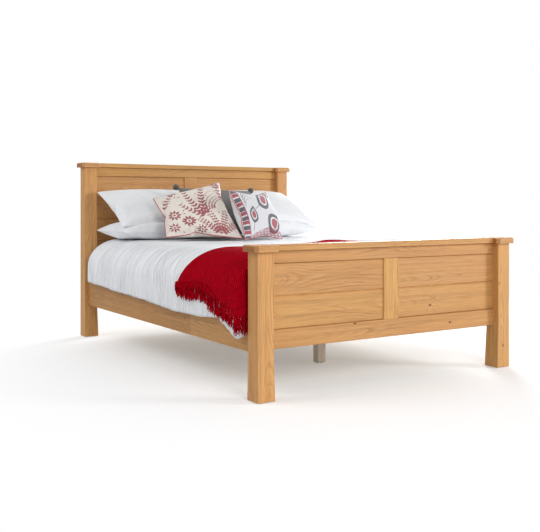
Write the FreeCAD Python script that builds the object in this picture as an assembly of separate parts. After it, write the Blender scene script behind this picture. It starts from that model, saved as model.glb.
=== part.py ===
import FreeCAD, Part
import math
import os

# A double panel bed: panelled headboard and footboard, side rails, slatted base and bedding.
# Millimetres. +X is to the right seen from the foot, +Y towards the headboard, +Z up.
# The origin is on the floor, in the middle of the bed.

V = FreeCAD.Vector

# ------------------------------------------------------------------ driving sizes
# Mattress and the room left around it inside the frame
MATTRESS_WIDTH = 1350.0
MATTRESS_LENGTH = 1900.0
MATTRESS_HEIGHT = 230.0
MATTRESS_CORNER = 60.0
MATTRESS_EDGE = 22.0
SIDE_ROOM = 17.0
END_ROOM = 20.0

# Posts
POST_SIZE = 80.0
POST_FLARE = 6.0
POST_ARRIS = 4.0
FOOT_POST_TOP = 619.0
HEAD_POST_TOP = 1039.0

# Caps on the posts, and the cap rails between them
CAP_THICKNESS = 28.0
CAP_OVERHANG = 20.0
CAP_CLIP = 13.0
CAP_ROUND = 9.0
CAP_RAIL_THICKNESS = 25.0
CAP_RAIL_OVERHANG = 20.0

# Frame and boards of the headboard and footboard
FACE_RECESS = 35.0
RAIL_THICKNESS = 22.0
BOARD_SETBACK = 6.0
BOARD_CHAMFER = 4.0
RAIL_ARRIS = 2.5
TONGUE_THICKNESS = 6.0
TONGUE_DEPTH = 7.0
TENON_THICKNESS = 12.0
TENON_LENGTH = 25.0
TENON_SHOULDER = 10.0
JOINT_CLEARANCE = 0.2
FOOT_MUNTIN_WIDTH = 90.0
HEAD_MUNTIN_WIDTH = 94.0
FOOT_TOP_RAIL_HEIGHT = 54.0
HEAD_TOP_RAIL_HEIGHT = 55.0
FOOT_BOTTOM_RAIL_LOW = 210.0
HEAD_BOTTOM_RAIL_LOW = 210.0
FOOT_BOTTOM_RAIL_HEIGHT = 80.0
HEAD_BOTTOM_RAIL_HEIGHT = 107.0
FOOT_BOARD_ROWS = 2
HEAD_BOARD_ROWS = 5

# Side rails
SIDE_RAIL_THICKNESS = 25.0
SIDE_RAIL_HEIGHT = 138.0
SIDE_RAIL_LOW = 195.0
SIDE_RAIL_INSET = 23.0
SIDE_RAIL_ARRIS = 2.0

# Slatted base
SLAT_THICKNESS = 18.0
SLAT_WIDTH = 70.0
SLAT_COUNT = 13
SLAT_END_PLAY = 2.0
SLAT_TOP = 300.0
LEDGER_THICKNESS = 25.0
LEDGER_HEIGHT = 30.0
LEDGER_END_PLAY = 2.0
CENTRE_RAIL_WIDTH = 70.0
CENTRE_RAIL_HEIGHT = 40.0
CENTRE_LEG_SIZE = 45.0
CENTRE_LEG_SPACING = 900.0
SADDLE_PLATE = 3.0
SADDLE_DEPTH = 60.0
SADDLE_FLANGE = 28.0

# Corner joints
BRACKET_PLATE = 3.0
BRACKET_HEIGHT = 46.0
BRACKET_POST_LEG = 30.0
BRACKET_RAIL_LEG = 80.0
BRACKET_GAP_UNDER_LEDGER = 4.0
BOLT_DIAMETER = 8.0
BOLT_LENGTH = 22.0
BOLT_HEAD_WIDTH = 13.0
BOLT_HEAD_HEIGHT = 5.5
BOLT_SPACING = 22.0
INSERT_DIAMETER = 12.0
INSERT_LENGTH = 18.0

# Screws, dowels and glides
SCREW_DIAMETER = 4.0
SCREW_HEAD = 8.0
SLAT_SCREW_LENGTH = 35.0
LEDGER_SCREW_LENGTH = 40.0
BRACKET_SCREW_LENGTH = 20.0
SADDLE_SCREW_LENGTH = 16.0
LEG_SCREW_DIAMETER = 6.0
LEG_SCREW_HEAD = 12.0
LEG_SCREW_LENGTH = 90.0
LEG_SCREW_SPACING = 22.0
LEDGER_SCREW_COUNT = 6
DOWEL_DIAMETER = 8.0
DOWEL_LENGTH = 34.0
POST_DOWEL_DIAMETER = 12.0
CAP_DOWEL_COUNT = 4
GLIDE_DIAMETER = 36.0
GLIDE_THICKNESS = 3.0
GLIDE_PIN_DIAMETER = 6.0
GLIDE_PIN_LENGTH = 12.0

# Duvet. Its hem drops are below the hem at the headboard end, at shares of the bed's half length
SOFT_CLEARANCE = 0.3
DUVET_THICKNESS = 70.0
DUVET_SIDE_THICKNESS = 30.0
DUVET_RAIL_GAP = 3.0
DUVET_SHOULDER = 110.0
DUVET_SHOULDER_DROP = 120.0
DUVET_END_ROOM = 6.0
DUVET_DROP = 256.0
DUVET_FOLD_DEPTH = 7.0
DUVET_CORNER_FLARE_LEFT = 12.0
DUVET_CORNER_FLARE_RIGHT = 45.0
DUVET_FLARE_SHARPNESS = 8
DUVET_HEM_DROPS = [
    (-1.02, 105),
    (-0.96, 104),
    (-0.90, 70),
    (-0.78, 26),
    (-0.60, 42),
    (-0.30, 44),
    (0.05, 26),
    (0.40, 18),
    (0.70, 6),
    (0.88, 0),
    (1.02, -2),
]

# The folds that hang over the sides: each one's place as a share of the bed's half length, and
# how far it stands out or in on the left and on the right, as a share of the fold depth
SIDE_FOLDS = [
    (-1.0, 0.6, 0.8),
    (-0.86, 1.0, -0.2),
    (-0.70, -0.5, 0.9),
    (-0.52, 0.7, -0.7),
    (-0.36, -0.6, 0.5),
    (-0.18, 0.4, -0.3),
    (0.0, -0.3, 0.6),
    (0.20, 0.8, -0.6),
    (0.42, -0.4, 0.7),
    (0.64, 0.5, 0.0),
    (0.84, -0.2, 0.5),
    (1.0, 0.3, 0.2),
]

# Throw. Its widths run up the bed from the foot end, and its hem drops are shares of the foot drop
THROW_THICKNESS = 8.0
THROW_WIDTH_LEFT = 604.0
THROW_WIDTH_RIGHT = 674.0
THROW_END_ROOM = 1.0
THROW_DROP = 156.0
THROW_FOOT_DROP = 100.0
THROW_HEM_DROPS = [
    (-1.02, 1.0),
    (-0.98, 1.0),
    (-0.93, 0.6),
    (-0.85, 0.46),
    (-0.75, 0.3),
    (-0.60, 0.14),
    (-0.45, 0.06),
    (-0.30, 0.0),
    (-0.15, -0.02),
]
FRINGE_LENGTH = 95.0
FRINGE_THICKNESS = 5.0

# Pillows
PILLOW_WIDTH = 660.0
PILLOW_DEPTH = 440.0
PILLOW_CROWN = 92.0
PILLOW_UNDERSIDE = 22.0
PILLOW_DRAW_IN = 20.0
PILLOW_GAP = 24.0
UPPER_PILLOW_CROWN = 57.0
UPPER_PILLOW_UNDERSIDE = 46.0
UPPER_PILLOW_LEAN = 27.0

# Scatter cushions: width, height, half thickness and how far the sides draw in; the middle's
# place across the bed and its distance from the headboard end of the bedding; and the lean from
# upright, the turn and the tilt in degrees
GREY_CUSHION = {"size": (500, 460, 62, 22), "place": (-16, 436), "turn": (50, -2, -3)}
SPRIG_CUSHION = {"size": (425, 398, 58, 20), "place": (-288, 566), "turn": (46, -19, 9)}
PATCHWORK_CUSHION = {"size": (410, 308, 55, 16), "place": (52, 682), "turn": (24, 27, -2)}

# How full a pad is along its width: at these shares of its half width, from the fullness at its ends
PAD_SECTIONS = (-1.0, -0.88, -0.62, 0.0, 0.62, 0.88, 1.0)
PAD_END_FULLNESS = 0.12

# Laying a pad down: the height that it starts from, the most steps, and the slowest that a step
# is taken to close the gap
SETTLE_START = 60.0
SETTLE_STEPS = 16
SLOWEST_CLOSING = 0.25

# How far cutting shapes run past what they cut, and the most that two heights differ by when
# they count as the same
OVERCUT = 10.0
SAME = 0.01

# ------------------------------------------------------------------ places worked out from them
RAIL_SPAN = MATTRESS_WIDTH + 2 * SIDE_ROOM
INSIDE_LENGTH = MATTRESS_LENGTH + 2 * END_ROOM
BED_WIDTH = RAIL_SPAN + 2 * SIDE_RAIL_THICKNESS + 2 * SIDE_RAIL_INSET
BED_LENGTH = INSIDE_LENGTH + 2 * POST_SIZE
POST_INNER_X = BED_WIDTH / 2 - POST_SIZE
FOOT_FRONT_Y = -BED_LENGTH / 2
HEAD_FRONT_Y = BED_LENGTH / 2 - POST_SIZE
POST_CENTRE_X = BED_WIDTH / 2 - POST_SIZE / 2
SIDE_RAIL_INNER_X = RAIL_SPAN / 2
LEDGER_TOP = SLAT_TOP - SLAT_THICKNESS
CENTRE_RAIL_LOW = LEDGER_TOP - CENTRE_RAIL_HEIGHT
MATTRESS_LOW = SLAT_TOP + SOFT_CLEARANCE
MATTRESS_TOP = MATTRESS_LOW + MATTRESS_HEIGHT
DUVET_LOW = MATTRESS_TOP + SOFT_CLEARANCE
DUVET_TOP = DUVET_LOW + DUVET_THICKNESS
DUVET_HEM = DUVET_TOP - DUVET_DROP
DUVET_SIDE_INSIDE = SIDE_RAIL_INNER_X + SIDE_RAIL_THICKNESS + DUVET_RAIL_GAP
DUVET_SIDE_REACH = DUVET_SIDE_INSIDE + DUVET_SIDE_THICKNESS
THROW_HEM = DUVET_TOP - THROW_DROP
BEDDING_END = INSIDE_LENGTH / 2 - CAP_OVERHANG - DUVET_END_ROOM
BEDDING_BOTTOM = DUVET_HEM - max(drop for share, drop in DUVET_HEM_DROPS) - OVERCUT
BRACKET_LOW = LEDGER_TOP - LEDGER_HEIGHT - BRACKET_GAP_UNDER_LEDGER - BRACKET_HEIGHT

# ------------------------------------------------------------------ small shape helpers


def box(x0, x1, y0, y1, z0, z1):
    """A block between two corners."""
    return Part.makeBox(x1 - x0, y1 - y0, z1 - z0, V(x0, y0, z0))


def prism(points, direction):
    """A straight-sided solid: a closed outline of corner points, pushed along a direction."""
    wire = Part.makePolygon(points + [points[0]])
    return Part.Face(wire).extrude(direction)


def arc(start, middle, end):
    """An edge: the arc through three points."""
    return Part.Arc(start, middle, end).toShape()


def line(start, end):
    """An edge: the straight line between two points."""
    return Part.LineSegment(start, end).toShape()


def rounded_rectangle(x0, x1, y0, y1, z, radius):
    """A closed wire: a level rectangle with round corners."""
    inset = radius * (1 - math.sqrt(0.5))
    corners = [(x0, y0, 1, 1), (x1, y0, -1, 1), (x1, y1, -1, -1), (x0, y1, 1, -1)]
    edges = []
    ends = []
    for index, (x, y, inward_x, inward_y) in enumerate(corners):
        along_x = V(x + inward_x * radius, y, z)
        along_y = V(x, y + inward_y * radius, z)
        middle = V(x + inward_x * inset, y + inward_y * inset, z)
        first, last = (along_y, along_x) if index % 2 == 0 else (along_x, along_y)
        ends.append((first, last))
        edges.append(arc(first, middle, last))
    sides = []
    for index in range(4):
        sides.append(line(ends[index][1], ends[(index + 1) % 4][0]))
    ordered = []
    for corner, side in zip(edges, sides):
        ordered += [corner, side]
    return Part.Wire(ordered)


def joined(shapes):
    """One solid from several that touch or overlap."""
    return shapes[0].multiFuse(shapes[1:]).removeSplitter()


def mirrored_x(shape):
    """The same piece on the other side of the bed."""
    return shape.mirror(V(0, 0, 0), V(1, 0, 0))


def turned_solid(profile, base, axis):
    """A solid of revolution: (radius, distance) points, standing at base along axis."""
    points = [V(radius, 0, distance) for radius, distance in profile]
    face = Part.Face(Part.makePolygon(points + [points[0]]))
    solid = face.revolve(V(0, 0, 0), V(0, 0, 1), 360)
    solid.Placement = FreeCAD.Placement(base, FreeCAD.Rotation(V(0, 0, 1), axis))
    return solid


def screw(head_centre, axis, length, diameter=SCREW_DIAMETER, head=SCREW_HEAD):
    """Countersunk screw: its head flush at head_centre, its point along axis."""
    cone = (head - diameter) / 2
    point = diameter
    profile = [
        (0, 0),
        (head / 2, 0),
        (diameter / 2, cone),
        (diameter / 2, length - point),
        (0, length),
    ]
    return turned_solid(profile, head_centre, axis)


def save(name, shape):
    """Write one named piece, or one named group of like pieces."""
    shape.exportStep("parts/" + name + ".step")
    print(f"{name}: {len(shape.Solids)} solid(s), {shape.Volume / 1000:.1f} cm3")


# ------------------------------------------------------------------ posts and caps


def post(left, head):
    """Square post. Its outer faces are plumb and its two inner faces flare below the side rails."""
    front = HEAD_FRONT_Y if head else FOOT_FRONT_Y
    top = HEAD_POST_TOP if head else FOOT_POST_TOP
    x0 = -BED_WIDTH / 2
    x1 = -POST_INNER_X
    y0 = front
    y1 = front + POST_SIZE
    flared_y0 = y0 - POST_FLARE if head else y0
    flared_y1 = y1 if head else y1 + POST_FLARE
    flare_top = SIDE_RAIL_LOW - POST_ARRIS
    foot_wire = rounded_rectangle(x0, x1 + POST_FLARE, flared_y0, flared_y1, GLIDE_THICKNESS, POST_ARRIS)
    knee_wire = rounded_rectangle(x0, x1, y0, y1, flare_top, POST_ARRIS)
    lower = Part.makeLoft([foot_wire, knee_wire], True, True)
    upper = Part.Face(knee_wire).extrude(V(0, 0, top - flare_top))
    solid = joined([lower, upper])
    for cutter in post_joinery(head):
        solid = solid.cut(cutter)
    return solid if left else mirrored_x(solid)


def post_joinery(head):
    """Mortises for the two rails, and the groove for the board ends, in the left post."""
    layout = board_layout(head)
    mid_y = layout["rail_mid_y"]
    x0 = -POST_INNER_X - TENON_LENGTH - JOINT_CLEARANCE
    x1 = -POST_INNER_X + OVERCUT
    half = TENON_THICKNESS / 2 + JOINT_CLEARANCE
    cutters = []
    for low, high in (layout["bottom_rail"], layout["top_rail"]):
        z0 = low + TENON_SHOULDER - JOINT_CLEARANCE
        z1 = high - TENON_SHOULDER + JOINT_CLEARANCE
        cutters.append(box(x0, x1, mid_y - half, mid_y + half, z0, z1))
    groove_half = TONGUE_THICKNESS / 2 + JOINT_CLEARANCE
    groove_x0 = -POST_INNER_X - TONGUE_DEPTH - JOINT_CLEARANCE
    board_y = layout["board_mid_y"]
    z0 = layout["bottom_rail"][1]
    z1 = layout["top_rail"][0]
    cutters.append(box(groove_x0, x1, board_y - groove_half, board_y + groove_half, z0, z1))
    return cutters


def post_cap(left, head):
    """Block with clipped corners on a post, its top edges rounded over."""
    front = HEAD_FRONT_Y if head else FOOT_FRONT_Y
    z0 = HEAD_POST_TOP if head else FOOT_POST_TOP
    x0 = -BED_WIDTH / 2 - CAP_OVERHANG
    x1 = -POST_INNER_X + CAP_OVERHANG
    y0 = front - CAP_OVERHANG
    y1 = front + POST_SIZE + CAP_OVERHANG
    outline = [
        V(x0 + CAP_CLIP, y0, z0),
        V(x1 - CAP_CLIP, y0, z0),
        V(x1, y0 + CAP_CLIP, z0),
        V(x1, y1 - CAP_CLIP, z0),
        V(x1 - CAP_CLIP, y1, z0),
        V(x0 + CAP_CLIP, y1, z0),
        V(x0, y1 - CAP_CLIP, z0),
        V(x0, y0 + CAP_CLIP, z0),
    ]
    solid = prism(outline, V(0, 0, CAP_THICKNESS))
    top = z0 + CAP_THICKNESS
    rim = [edge for edge in solid.Edges if edge.BoundBox.ZMin > top - SAME]
    solid = solid.makeFillet(CAP_ROUND, rim)
    return solid if left else mirrored_x(solid)


# ------------------------------------------------------------------ headboard and footboard frames


def board_layout(head):
    """Heights and depths of the rails and boards of one end of the bed."""
    front = HEAD_FRONT_Y if head else FOOT_FRONT_Y
    post_top = HEAD_POST_TOP if head else FOOT_POST_TOP
    rail_top = post_top + CAP_THICKNESS - CAP_RAIL_THICKNESS
    top_height = HEAD_TOP_RAIL_HEIGHT if head else FOOT_TOP_RAIL_HEIGHT
    low = HEAD_BOTTOM_RAIL_LOW if head else FOOT_BOTTOM_RAIL_LOW
    low_height = HEAD_BOTTOM_RAIL_HEIGHT if head else FOOT_BOTTOM_RAIL_HEIGHT
    rail_front = front + FACE_RECESS
    rail_back = rail_front + RAIL_THICKNESS
    board_front = rail_front + BOARD_SETBACK
    return {
        "rail_front": rail_front,
        "rail_back": rail_back,
        "rail_mid_y": (rail_front + rail_back) / 2,
        "board_front": board_front,
        "board_mid_y": (board_front + rail_back) / 2,
        "bottom_rail": (low, low + low_height),
        "top_rail": (rail_top - top_height, rail_top),
        "muntin": (HEAD_MUNTIN_WIDTH if head else FOOT_MUNTIN_WIDTH) / 2,
        "rows": HEAD_BOARD_ROWS if head else FOOT_BOARD_ROWS,
    }


def edge_profile(front, back, mid_y, low, high, chamfer, tongue, groove):
    """End view, in Y and Z, of a rail or board with a tongue below and a groove above."""
    half = TONGUE_THICKNESS / 2
    loose = half + JOINT_CLEARANCE
    floor = high - TONGUE_DEPTH - JOINT_CLEARANCE
    points = [(front, low + chamfer), (front + chamfer, low)]
    if tongue:
        points += [
            (mid_y - half, low),
            (mid_y - half, low - TONGUE_DEPTH),
            (mid_y + half, low - TONGUE_DEPTH),
            (mid_y + half, low),
        ]
    points += [(back, low), (back, high)]
    if groove:
        points += [
            (mid_y + loose, high),
            (mid_y + loose, floor),
            (mid_y - loose, floor),
            (mid_y - loose, high),
        ]
    points += [(front + chamfer, high), (front, high - chamfer)]
    return points


def long_piece(profile, x0, x1):
    """A rail or board: its end view pushed along X."""
    return prism([V(x0, y, z) for y, z in profile], V(x1 - x0, 0, 0))


def rail_tenons(layout, low, high):
    """The two tenons of a rail, one into each post."""
    half = TENON_THICKNESS / 2
    y = layout["rail_mid_y"]
    x1 = -POST_INNER_X
    left = box(x1 - TENON_LENGTH, x1, y - half, y + half, low + TENON_SHOULDER, high - TENON_SHOULDER)
    return [left, mirrored_x(left)]


def muntin_mortise(layout, z0, z1, play):
    """The tenon of the muntin, or with play its mortise."""
    half_x = layout["muntin"] - TENON_SHOULDER + play
    half_y = TONGUE_THICKNESS / 2 + play
    y = layout["board_mid_y"]
    return box(-half_x, half_x, y - half_y, y + half_y, z0, z1)


def under_caps(head, high):
    """What the post caps take from the upper corners of a top rail that stands above the posts."""
    layout = board_layout(head)
    low = HEAD_POST_TOP if head else FOOT_POST_TOP
    x0 = POST_INNER_X - CAP_OVERHANG
    y0 = layout["rail_front"] - OVERCUT
    y1 = layout["rail_back"] + OVERCUT
    notch = box(x0, POST_INNER_X + OVERCUT, y0, y1, low, high + OVERCUT)
    return [notch, mirrored_x(notch)]


def top_rail(head):
    """Upper rail of the frame, with a tongue below for the top boards."""
    layout = board_layout(head)
    low, high = layout["top_rail"]
    profile = edge_profile(
        layout["rail_front"], layout["rail_back"], layout["board_mid_y"], low, high, RAIL_ARRIS, True, False
    )
    solid = joined([long_piece(profile, -POST_INNER_X, POST_INNER_X)] + rail_tenons(layout, low, high))
    muntin = layout["muntin"]
    solid = solid.cut(
        box(-muntin, muntin, layout["rail_front"], layout["rail_back"], low - TONGUE_DEPTH, low)
    )
    for notch in under_caps(head, high):
        solid = solid.cut(notch)
    mortise_top = low + TONGUE_DEPTH + JOINT_CLEARANCE
    return solid.cut(muntin_mortise(layout, low - OVERCUT, mortise_top, JOINT_CLEARANCE))


def bottom_rail(head):
    """Lower rail of the frame, with a groove above for the lowest boards."""
    layout = board_layout(head)
    low, high = layout["bottom_rail"]
    profile = edge_profile(
        layout["rail_front"], layout["rail_back"], layout["board_mid_y"], low, high, RAIL_ARRIS, False, True
    )
    return joined([long_piece(profile, -POST_INNER_X, POST_INNER_X)] + rail_tenons(layout, low, high))


def muntin(head):
    """Middle upright, grooved on both sides, its stub tenons in the two rails."""
    layout = board_layout(head)
    half = layout["muntin"]
    front = layout["rail_front"]
    back = layout["rail_back"]
    z0 = layout["bottom_rail"][1]
    z1 = layout["top_rail"][0]
    outline = [
        V(-half + RAIL_ARRIS, front, z0),
        V(half - RAIL_ARRIS, front, z0),
        V(half, front + RAIL_ARRIS, z0),
        V(half, back, z0),
        V(-half, back, z0),
        V(-half, front + RAIL_ARRIS, z0),
    ]
    solid = prism(outline, V(0, 0, z1 - z0))
    y = layout["board_mid_y"]
    groove_half = TONGUE_THICKNESS / 2 + JOINT_CLEARANCE
    floor = half - TONGUE_DEPTH - JOINT_CLEARANCE
    groove = box(floor, half + OVERCUT, y - groove_half, y + groove_half, z0, z1)
    solid = solid.cut(groove).cut(mirrored_x(groove))
    lower_tenon = muntin_mortise(layout, z0 - TONGUE_DEPTH, z0, 0)
    upper_tenon = muntin_mortise(layout, z1, z1 + TONGUE_DEPTH, 0)
    return joined([solid, lower_tenon, upper_tenon])


def board(head, left, row):
    """One horizontal board. Row 1 is at the top. Its ends are tongued into post and muntin."""
    layout = board_layout(head)
    z_low = layout["bottom_rail"][1]
    z_high = layout["top_rail"][0]
    height = (z_high - z_low) / layout["rows"]
    high = z_high - (row - 1) * height
    low = high - height
    front = layout["board_front"]
    back = layout["rail_back"]
    mid_y = layout["board_mid_y"]
    x0 = -POST_INNER_X
    x1 = -layout["muntin"]
    profile = edge_profile(front, back, mid_y, low, high, BOARD_CHAMFER, True, True)
    body = long_piece(profile, x0, x1)
    half = TONGUE_THICKNESS / 2
    tongue_top = high - TONGUE_DEPTH - JOINT_CLEARANCE
    ends = box(x0 - TONGUE_DEPTH, x1 + TONGUE_DEPTH, mid_y - half, mid_y + half, low, tongue_top)
    solid = joined([body, ends])
    return solid if left else mirrored_x(solid)


def cap_rail(head):
    """Moulded board between the two post caps, over the top rail."""
    layout = board_layout(head)
    z0 = layout["top_rail"][1]
    top = z0 + CAP_RAIL_THICKNESS
    half = POST_INNER_X - CAP_OVERHANG
    y0 = layout["rail_front"] - CAP_RAIL_OVERHANG
    y1 = layout["rail_back"] + CAP_RAIL_OVERHANG
    solid = box(-half, half, y0, y1, z0, top)
    long_edges = []
    for edge in solid.Edges:
        limits = edge.BoundBox
        if limits.XLength > half and limits.ZMin > top - SAME:
            long_edges.append(edge)
    return solid.makeFillet(CAP_ROUND, long_edges)


def cap_dowels():
    """Dowels from the top rails into the cap rails, and from the posts into their caps."""
    dowels = []
    for head in (False, True):
        layout = board_layout(head)
        joint = layout["top_rail"][1]
        pitch = 2 * (POST_INNER_X - CAP_OVERHANG) / CAP_DOWEL_COUNT
        for index in range(CAP_DOWEL_COUNT):
            x = (index - (CAP_DOWEL_COUNT - 1) / 2) * pitch
            base = V(x, layout["rail_mid_y"], joint - DOWEL_LENGTH / 2)
            dowels.append(Part.makeCylinder(DOWEL_DIAMETER / 2, DOWEL_LENGTH, base))
        front = HEAD_FRONT_Y if head else FOOT_FRONT_Y
        top = HEAD_POST_TOP if head else FOOT_POST_TOP
        for side in (-1, 1):
            base = V(side * POST_CENTRE_X, front + POST_SIZE / 2, top - DOWEL_LENGTH / 2)
            dowels.append(Part.makeCylinder(POST_DOWEL_DIAMETER / 2, DOWEL_LENGTH, base))
    return Part.makeCompound(dowels)


# ------------------------------------------------------------------ side rails and slatted base


def side_rail():
    """Left side rail, a plain board with eased long edges, butted between the posts."""
    x1 = -SIDE_RAIL_INNER_X
    x0 = x1 - SIDE_RAIL_THICKNESS
    half = INSIDE_LENGTH / 2
    solid = box(x0, x1, -half, half, SIDE_RAIL_LOW, SIDE_RAIL_LOW + SIDE_RAIL_HEIGHT)
    long_edges = [edge for edge in solid.Edges if edge.BoundBox.YLength > half]
    return solid.makeFillet(SIDE_RAIL_ARRIS, long_edges)


def slat_ledger():
    """Left ledger, the strip on the side rail that the slats lie on."""
    x0 = -SIDE_RAIL_INNER_X
    half = INSIDE_LENGTH / 2 - LEDGER_END_PLAY
    return box(x0, x0 + LEDGER_THICKNESS, -half, half, LEDGER_TOP - LEDGER_HEIGHT, LEDGER_TOP)


def slat_places():
    """The middle of each slat along Y."""
    end = INSIDE_LENGTH / 2 - END_ROOM / 2 - SLAT_WIDTH / 2
    pitch = 2 * end / (SLAT_COUNT - 1)
    return [-end + index * pitch for index in range(SLAT_COUNT)]


def slats():
    """Cross slats, lying on the two ledgers and the centre rail."""
    half = SIDE_RAIL_INNER_X - SLAT_END_PLAY
    pieces = []
    for y in slat_places():
        pieces.append(box(-half, half, y - SLAT_WIDTH / 2, y + SLAT_WIDTH / 2, LEDGER_TOP, SLAT_TOP))
    return Part.makeCompound(pieces)


def slat_screws():
    """One screw at each end of each slat, down into the ledger."""
    x = SIDE_RAIL_INNER_X - LEDGER_THICKNESS / 2
    screws = []
    for y in slat_places():
        for side in (-1, 1):
            screws.append(screw(V(side * x, y, SLAT_TOP), V(0, 0, -1), SLAT_SCREW_LENGTH))
    return Part.makeCompound(screws)


def ledger_screws():
    """Screws through each ledger into its side rail, between the slats."""
    z = LEDGER_TOP - LEDGER_HEIGHT / 2
    x = SIDE_RAIL_INNER_X - LEDGER_THICKNESS
    places = slat_places()
    pitch = places[1] - places[0]
    step = (SLAT_COUNT - 1) // LEDGER_SCREW_COUNT
    screws = []
    for index in range(LEDGER_SCREW_COUNT):
        y = places[index * step] + pitch / 2
        for side in (-1, 1):
            screws.append(screw(V(side * x, y, z), V(side, 0, 0), LEDGER_SCREW_LENGTH))
    return Part.makeCompound(screws)


def centre_rail_ends():
    """Where the centre rail stops, one saddle plate short of each bottom rail."""
    return (
        board_layout(False)["rail_back"] + SADDLE_PLATE,
        board_layout(True)["rail_front"] - SADDLE_PLATE,
    )


def centre_rail():
    """Rail down the middle of the bed, under the slats."""
    y0, y1 = centre_rail_ends()
    half = CENTRE_RAIL_WIDTH / 2
    return box(-half, half, y0, y1, CENTRE_RAIL_LOW, LEDGER_TOP)


def saddle_screw_places():
    """X and Z of the screws in one saddle's plate."""
    x = CENTRE_RAIL_WIDTH / 2 + SADDLE_PLATE + SADDLE_FLANGE / 2
    z = LEDGER_TOP - CENTRE_RAIL_HEIGHT / 2
    rise = CENTRE_RAIL_HEIGHT / 4
    return [(side * x, z + way * rise) for side in (-1, 1) for way in (-1, 1)]


def centre_rail_saddles():
    """Pressed steel saddles that carry the ends of the centre rail."""
    half = CENTRE_RAIL_WIDTH / 2
    wall = half + SADDLE_PLATE
    low = CENTRE_RAIL_LOW - SADDLE_PLATE
    high = LEDGER_TOP - SADDLE_PLATE
    saddles = []
    for end, inward in zip(centre_rail_ends(), (1, -1)):
        back = sorted((end - inward * SADDLE_PLATE, end))
        reach = sorted((end - inward * SADDLE_PLATE, end + inward * SADDLE_DEPTH))
        plate = box(-wall - SADDLE_FLANGE, wall + SADDLE_FLANGE, *back, low, high)
        floor = box(-wall, wall, *reach, low, CENTRE_RAIL_LOW)
        cheek = box(half, wall, *reach, low, high)
        saddles.append(joined([plate, floor, cheek, mirrored_x(cheek)]))
    return Part.makeCompound(saddles)


def saddle_screws():
    """Screws through the saddle plates into the bottom rails."""
    screws = []
    for end, inward in zip(centre_rail_ends(), (1, -1)):
        for x, z in saddle_screw_places():
            screws.append(screw(V(x, end, z), V(0, -inward, 0), SADDLE_SCREW_LENGTH))
    return Part.makeCompound(screws)


def centre_leg(towards_head):
    """Square leg under the centre rail."""
    half = CENTRE_LEG_SIZE / 2
    y = towards_head * CENTRE_LEG_SPACING / 2
    return box(-half, half, y - half, y + half, GLIDE_THICKNESS, CENTRE_RAIL_LOW)


def leg_screws():
    """Two long screws down through the centre rail into each leg."""
    screws = []
    for towards_head in (-1, 1):
        for side in (-1, 1):
            place = V(side * LEG_SCREW_SPACING / 2, towards_head * CENTRE_LEG_SPACING / 2, LEDGER_TOP)
            screws.append(screw(place, V(0, 0, -1), LEG_SCREW_LENGTH, LEG_SCREW_DIAMETER, LEG_SCREW_HEAD))
    return Part.makeCompound(screws)


def floor_glides():
    """Pads pinned under the four posts and the two centre legs."""
    places = []
    for side in (-1, 1):
        places.append((side * POST_CENTRE_X, FOOT_FRONT_Y + POST_SIZE / 2))
        places.append((side * POST_CENTRE_X, HEAD_FRONT_Y + POST_SIZE / 2))
        places.append((0, side * CENTRE_LEG_SPACING / 2))
    glides = []
    for x, y in places:
        pad = Part.makeCylinder(GLIDE_DIAMETER / 2, GLIDE_THICKNESS, V(x, y, 0))
        pin = Part.makeCylinder(GLIDE_PIN_DIAMETER / 2, GLIDE_PIN_LENGTH, V(x, y, GLIDE_THICKNESS))
        glides.append(joined([pad, pin]))
    return Part.makeCompound(glides)


# ------------------------------------------------------------------ corner joints

CORNERS = [(side, end) for side in (-1, 1) for end in (-1, 1)]


def corner_brackets():
    """Steel angles that hold the side rails to the posts, low on the inside."""
    x_rail = SIDE_RAIL_INNER_X
    y_post = INSIDE_LENGTH / 2
    high = BRACKET_LOW + BRACKET_HEIGHT
    brackets = []
    for side, end in CORNERS:
        post_x = sorted((side * (x_rail - BRACKET_POST_LEG), side * x_rail))
        post_y = sorted((end * (y_post - BRACKET_PLATE), end * y_post))
        rail_x = sorted((side * (x_rail - BRACKET_PLATE), side * x_rail))
        rail_y = sorted((end * (y_post - BRACKET_RAIL_LEG), end * y_post))
        on_post = box(*post_x, *post_y, BRACKET_LOW, high)
        on_rail = box(*rail_x, *rail_y, BRACKET_LOW, high)
        brackets.append(joined([on_post, on_rail]))
    return Part.makeCompound(brackets)


def bolt_places():
    """Where each corner bolt meets its bracket, and which way it points."""
    x = (POST_INNER_X + SIDE_RAIL_INNER_X - BRACKET_PLATE) / 2
    middle = BRACKET_LOW + BRACKET_HEIGHT / 2
    places = []
    for side, end in CORNERS:
        y = end * (INSIDE_LENGTH / 2 - BRACKET_PLATE)
        for way in (-1, 1):
            places.append((V(side * x, y, middle + way * BOLT_SPACING / 2), V(0, end, 0)))
    return places


def corner_bolts():
    """Hexagon-headed bolts through the brackets into the posts."""
    bolts = []
    radius = BOLT_HEAD_WIDTH / math.sqrt(3)
    for place, axis in bolt_places():
        points = []
        for corner in range(6):
            angle = math.radians(60 * corner + 30)
            points.append(V(radius * math.cos(angle), radius * math.sin(angle), -BOLT_HEAD_HEIGHT))
        head = prism(points, V(0, 0, BOLT_HEAD_HEIGHT))
        shank = Part.makeCylinder(BOLT_DIAMETER / 2, BOLT_LENGTH)
        bolt = joined([head, shank])
        bolt.Placement = FreeCAD.Placement(place, FreeCAD.Rotation(V(0, 0, 1), axis))
        bolts.append(bolt)
    return Part.makeCompound(bolts)


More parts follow.
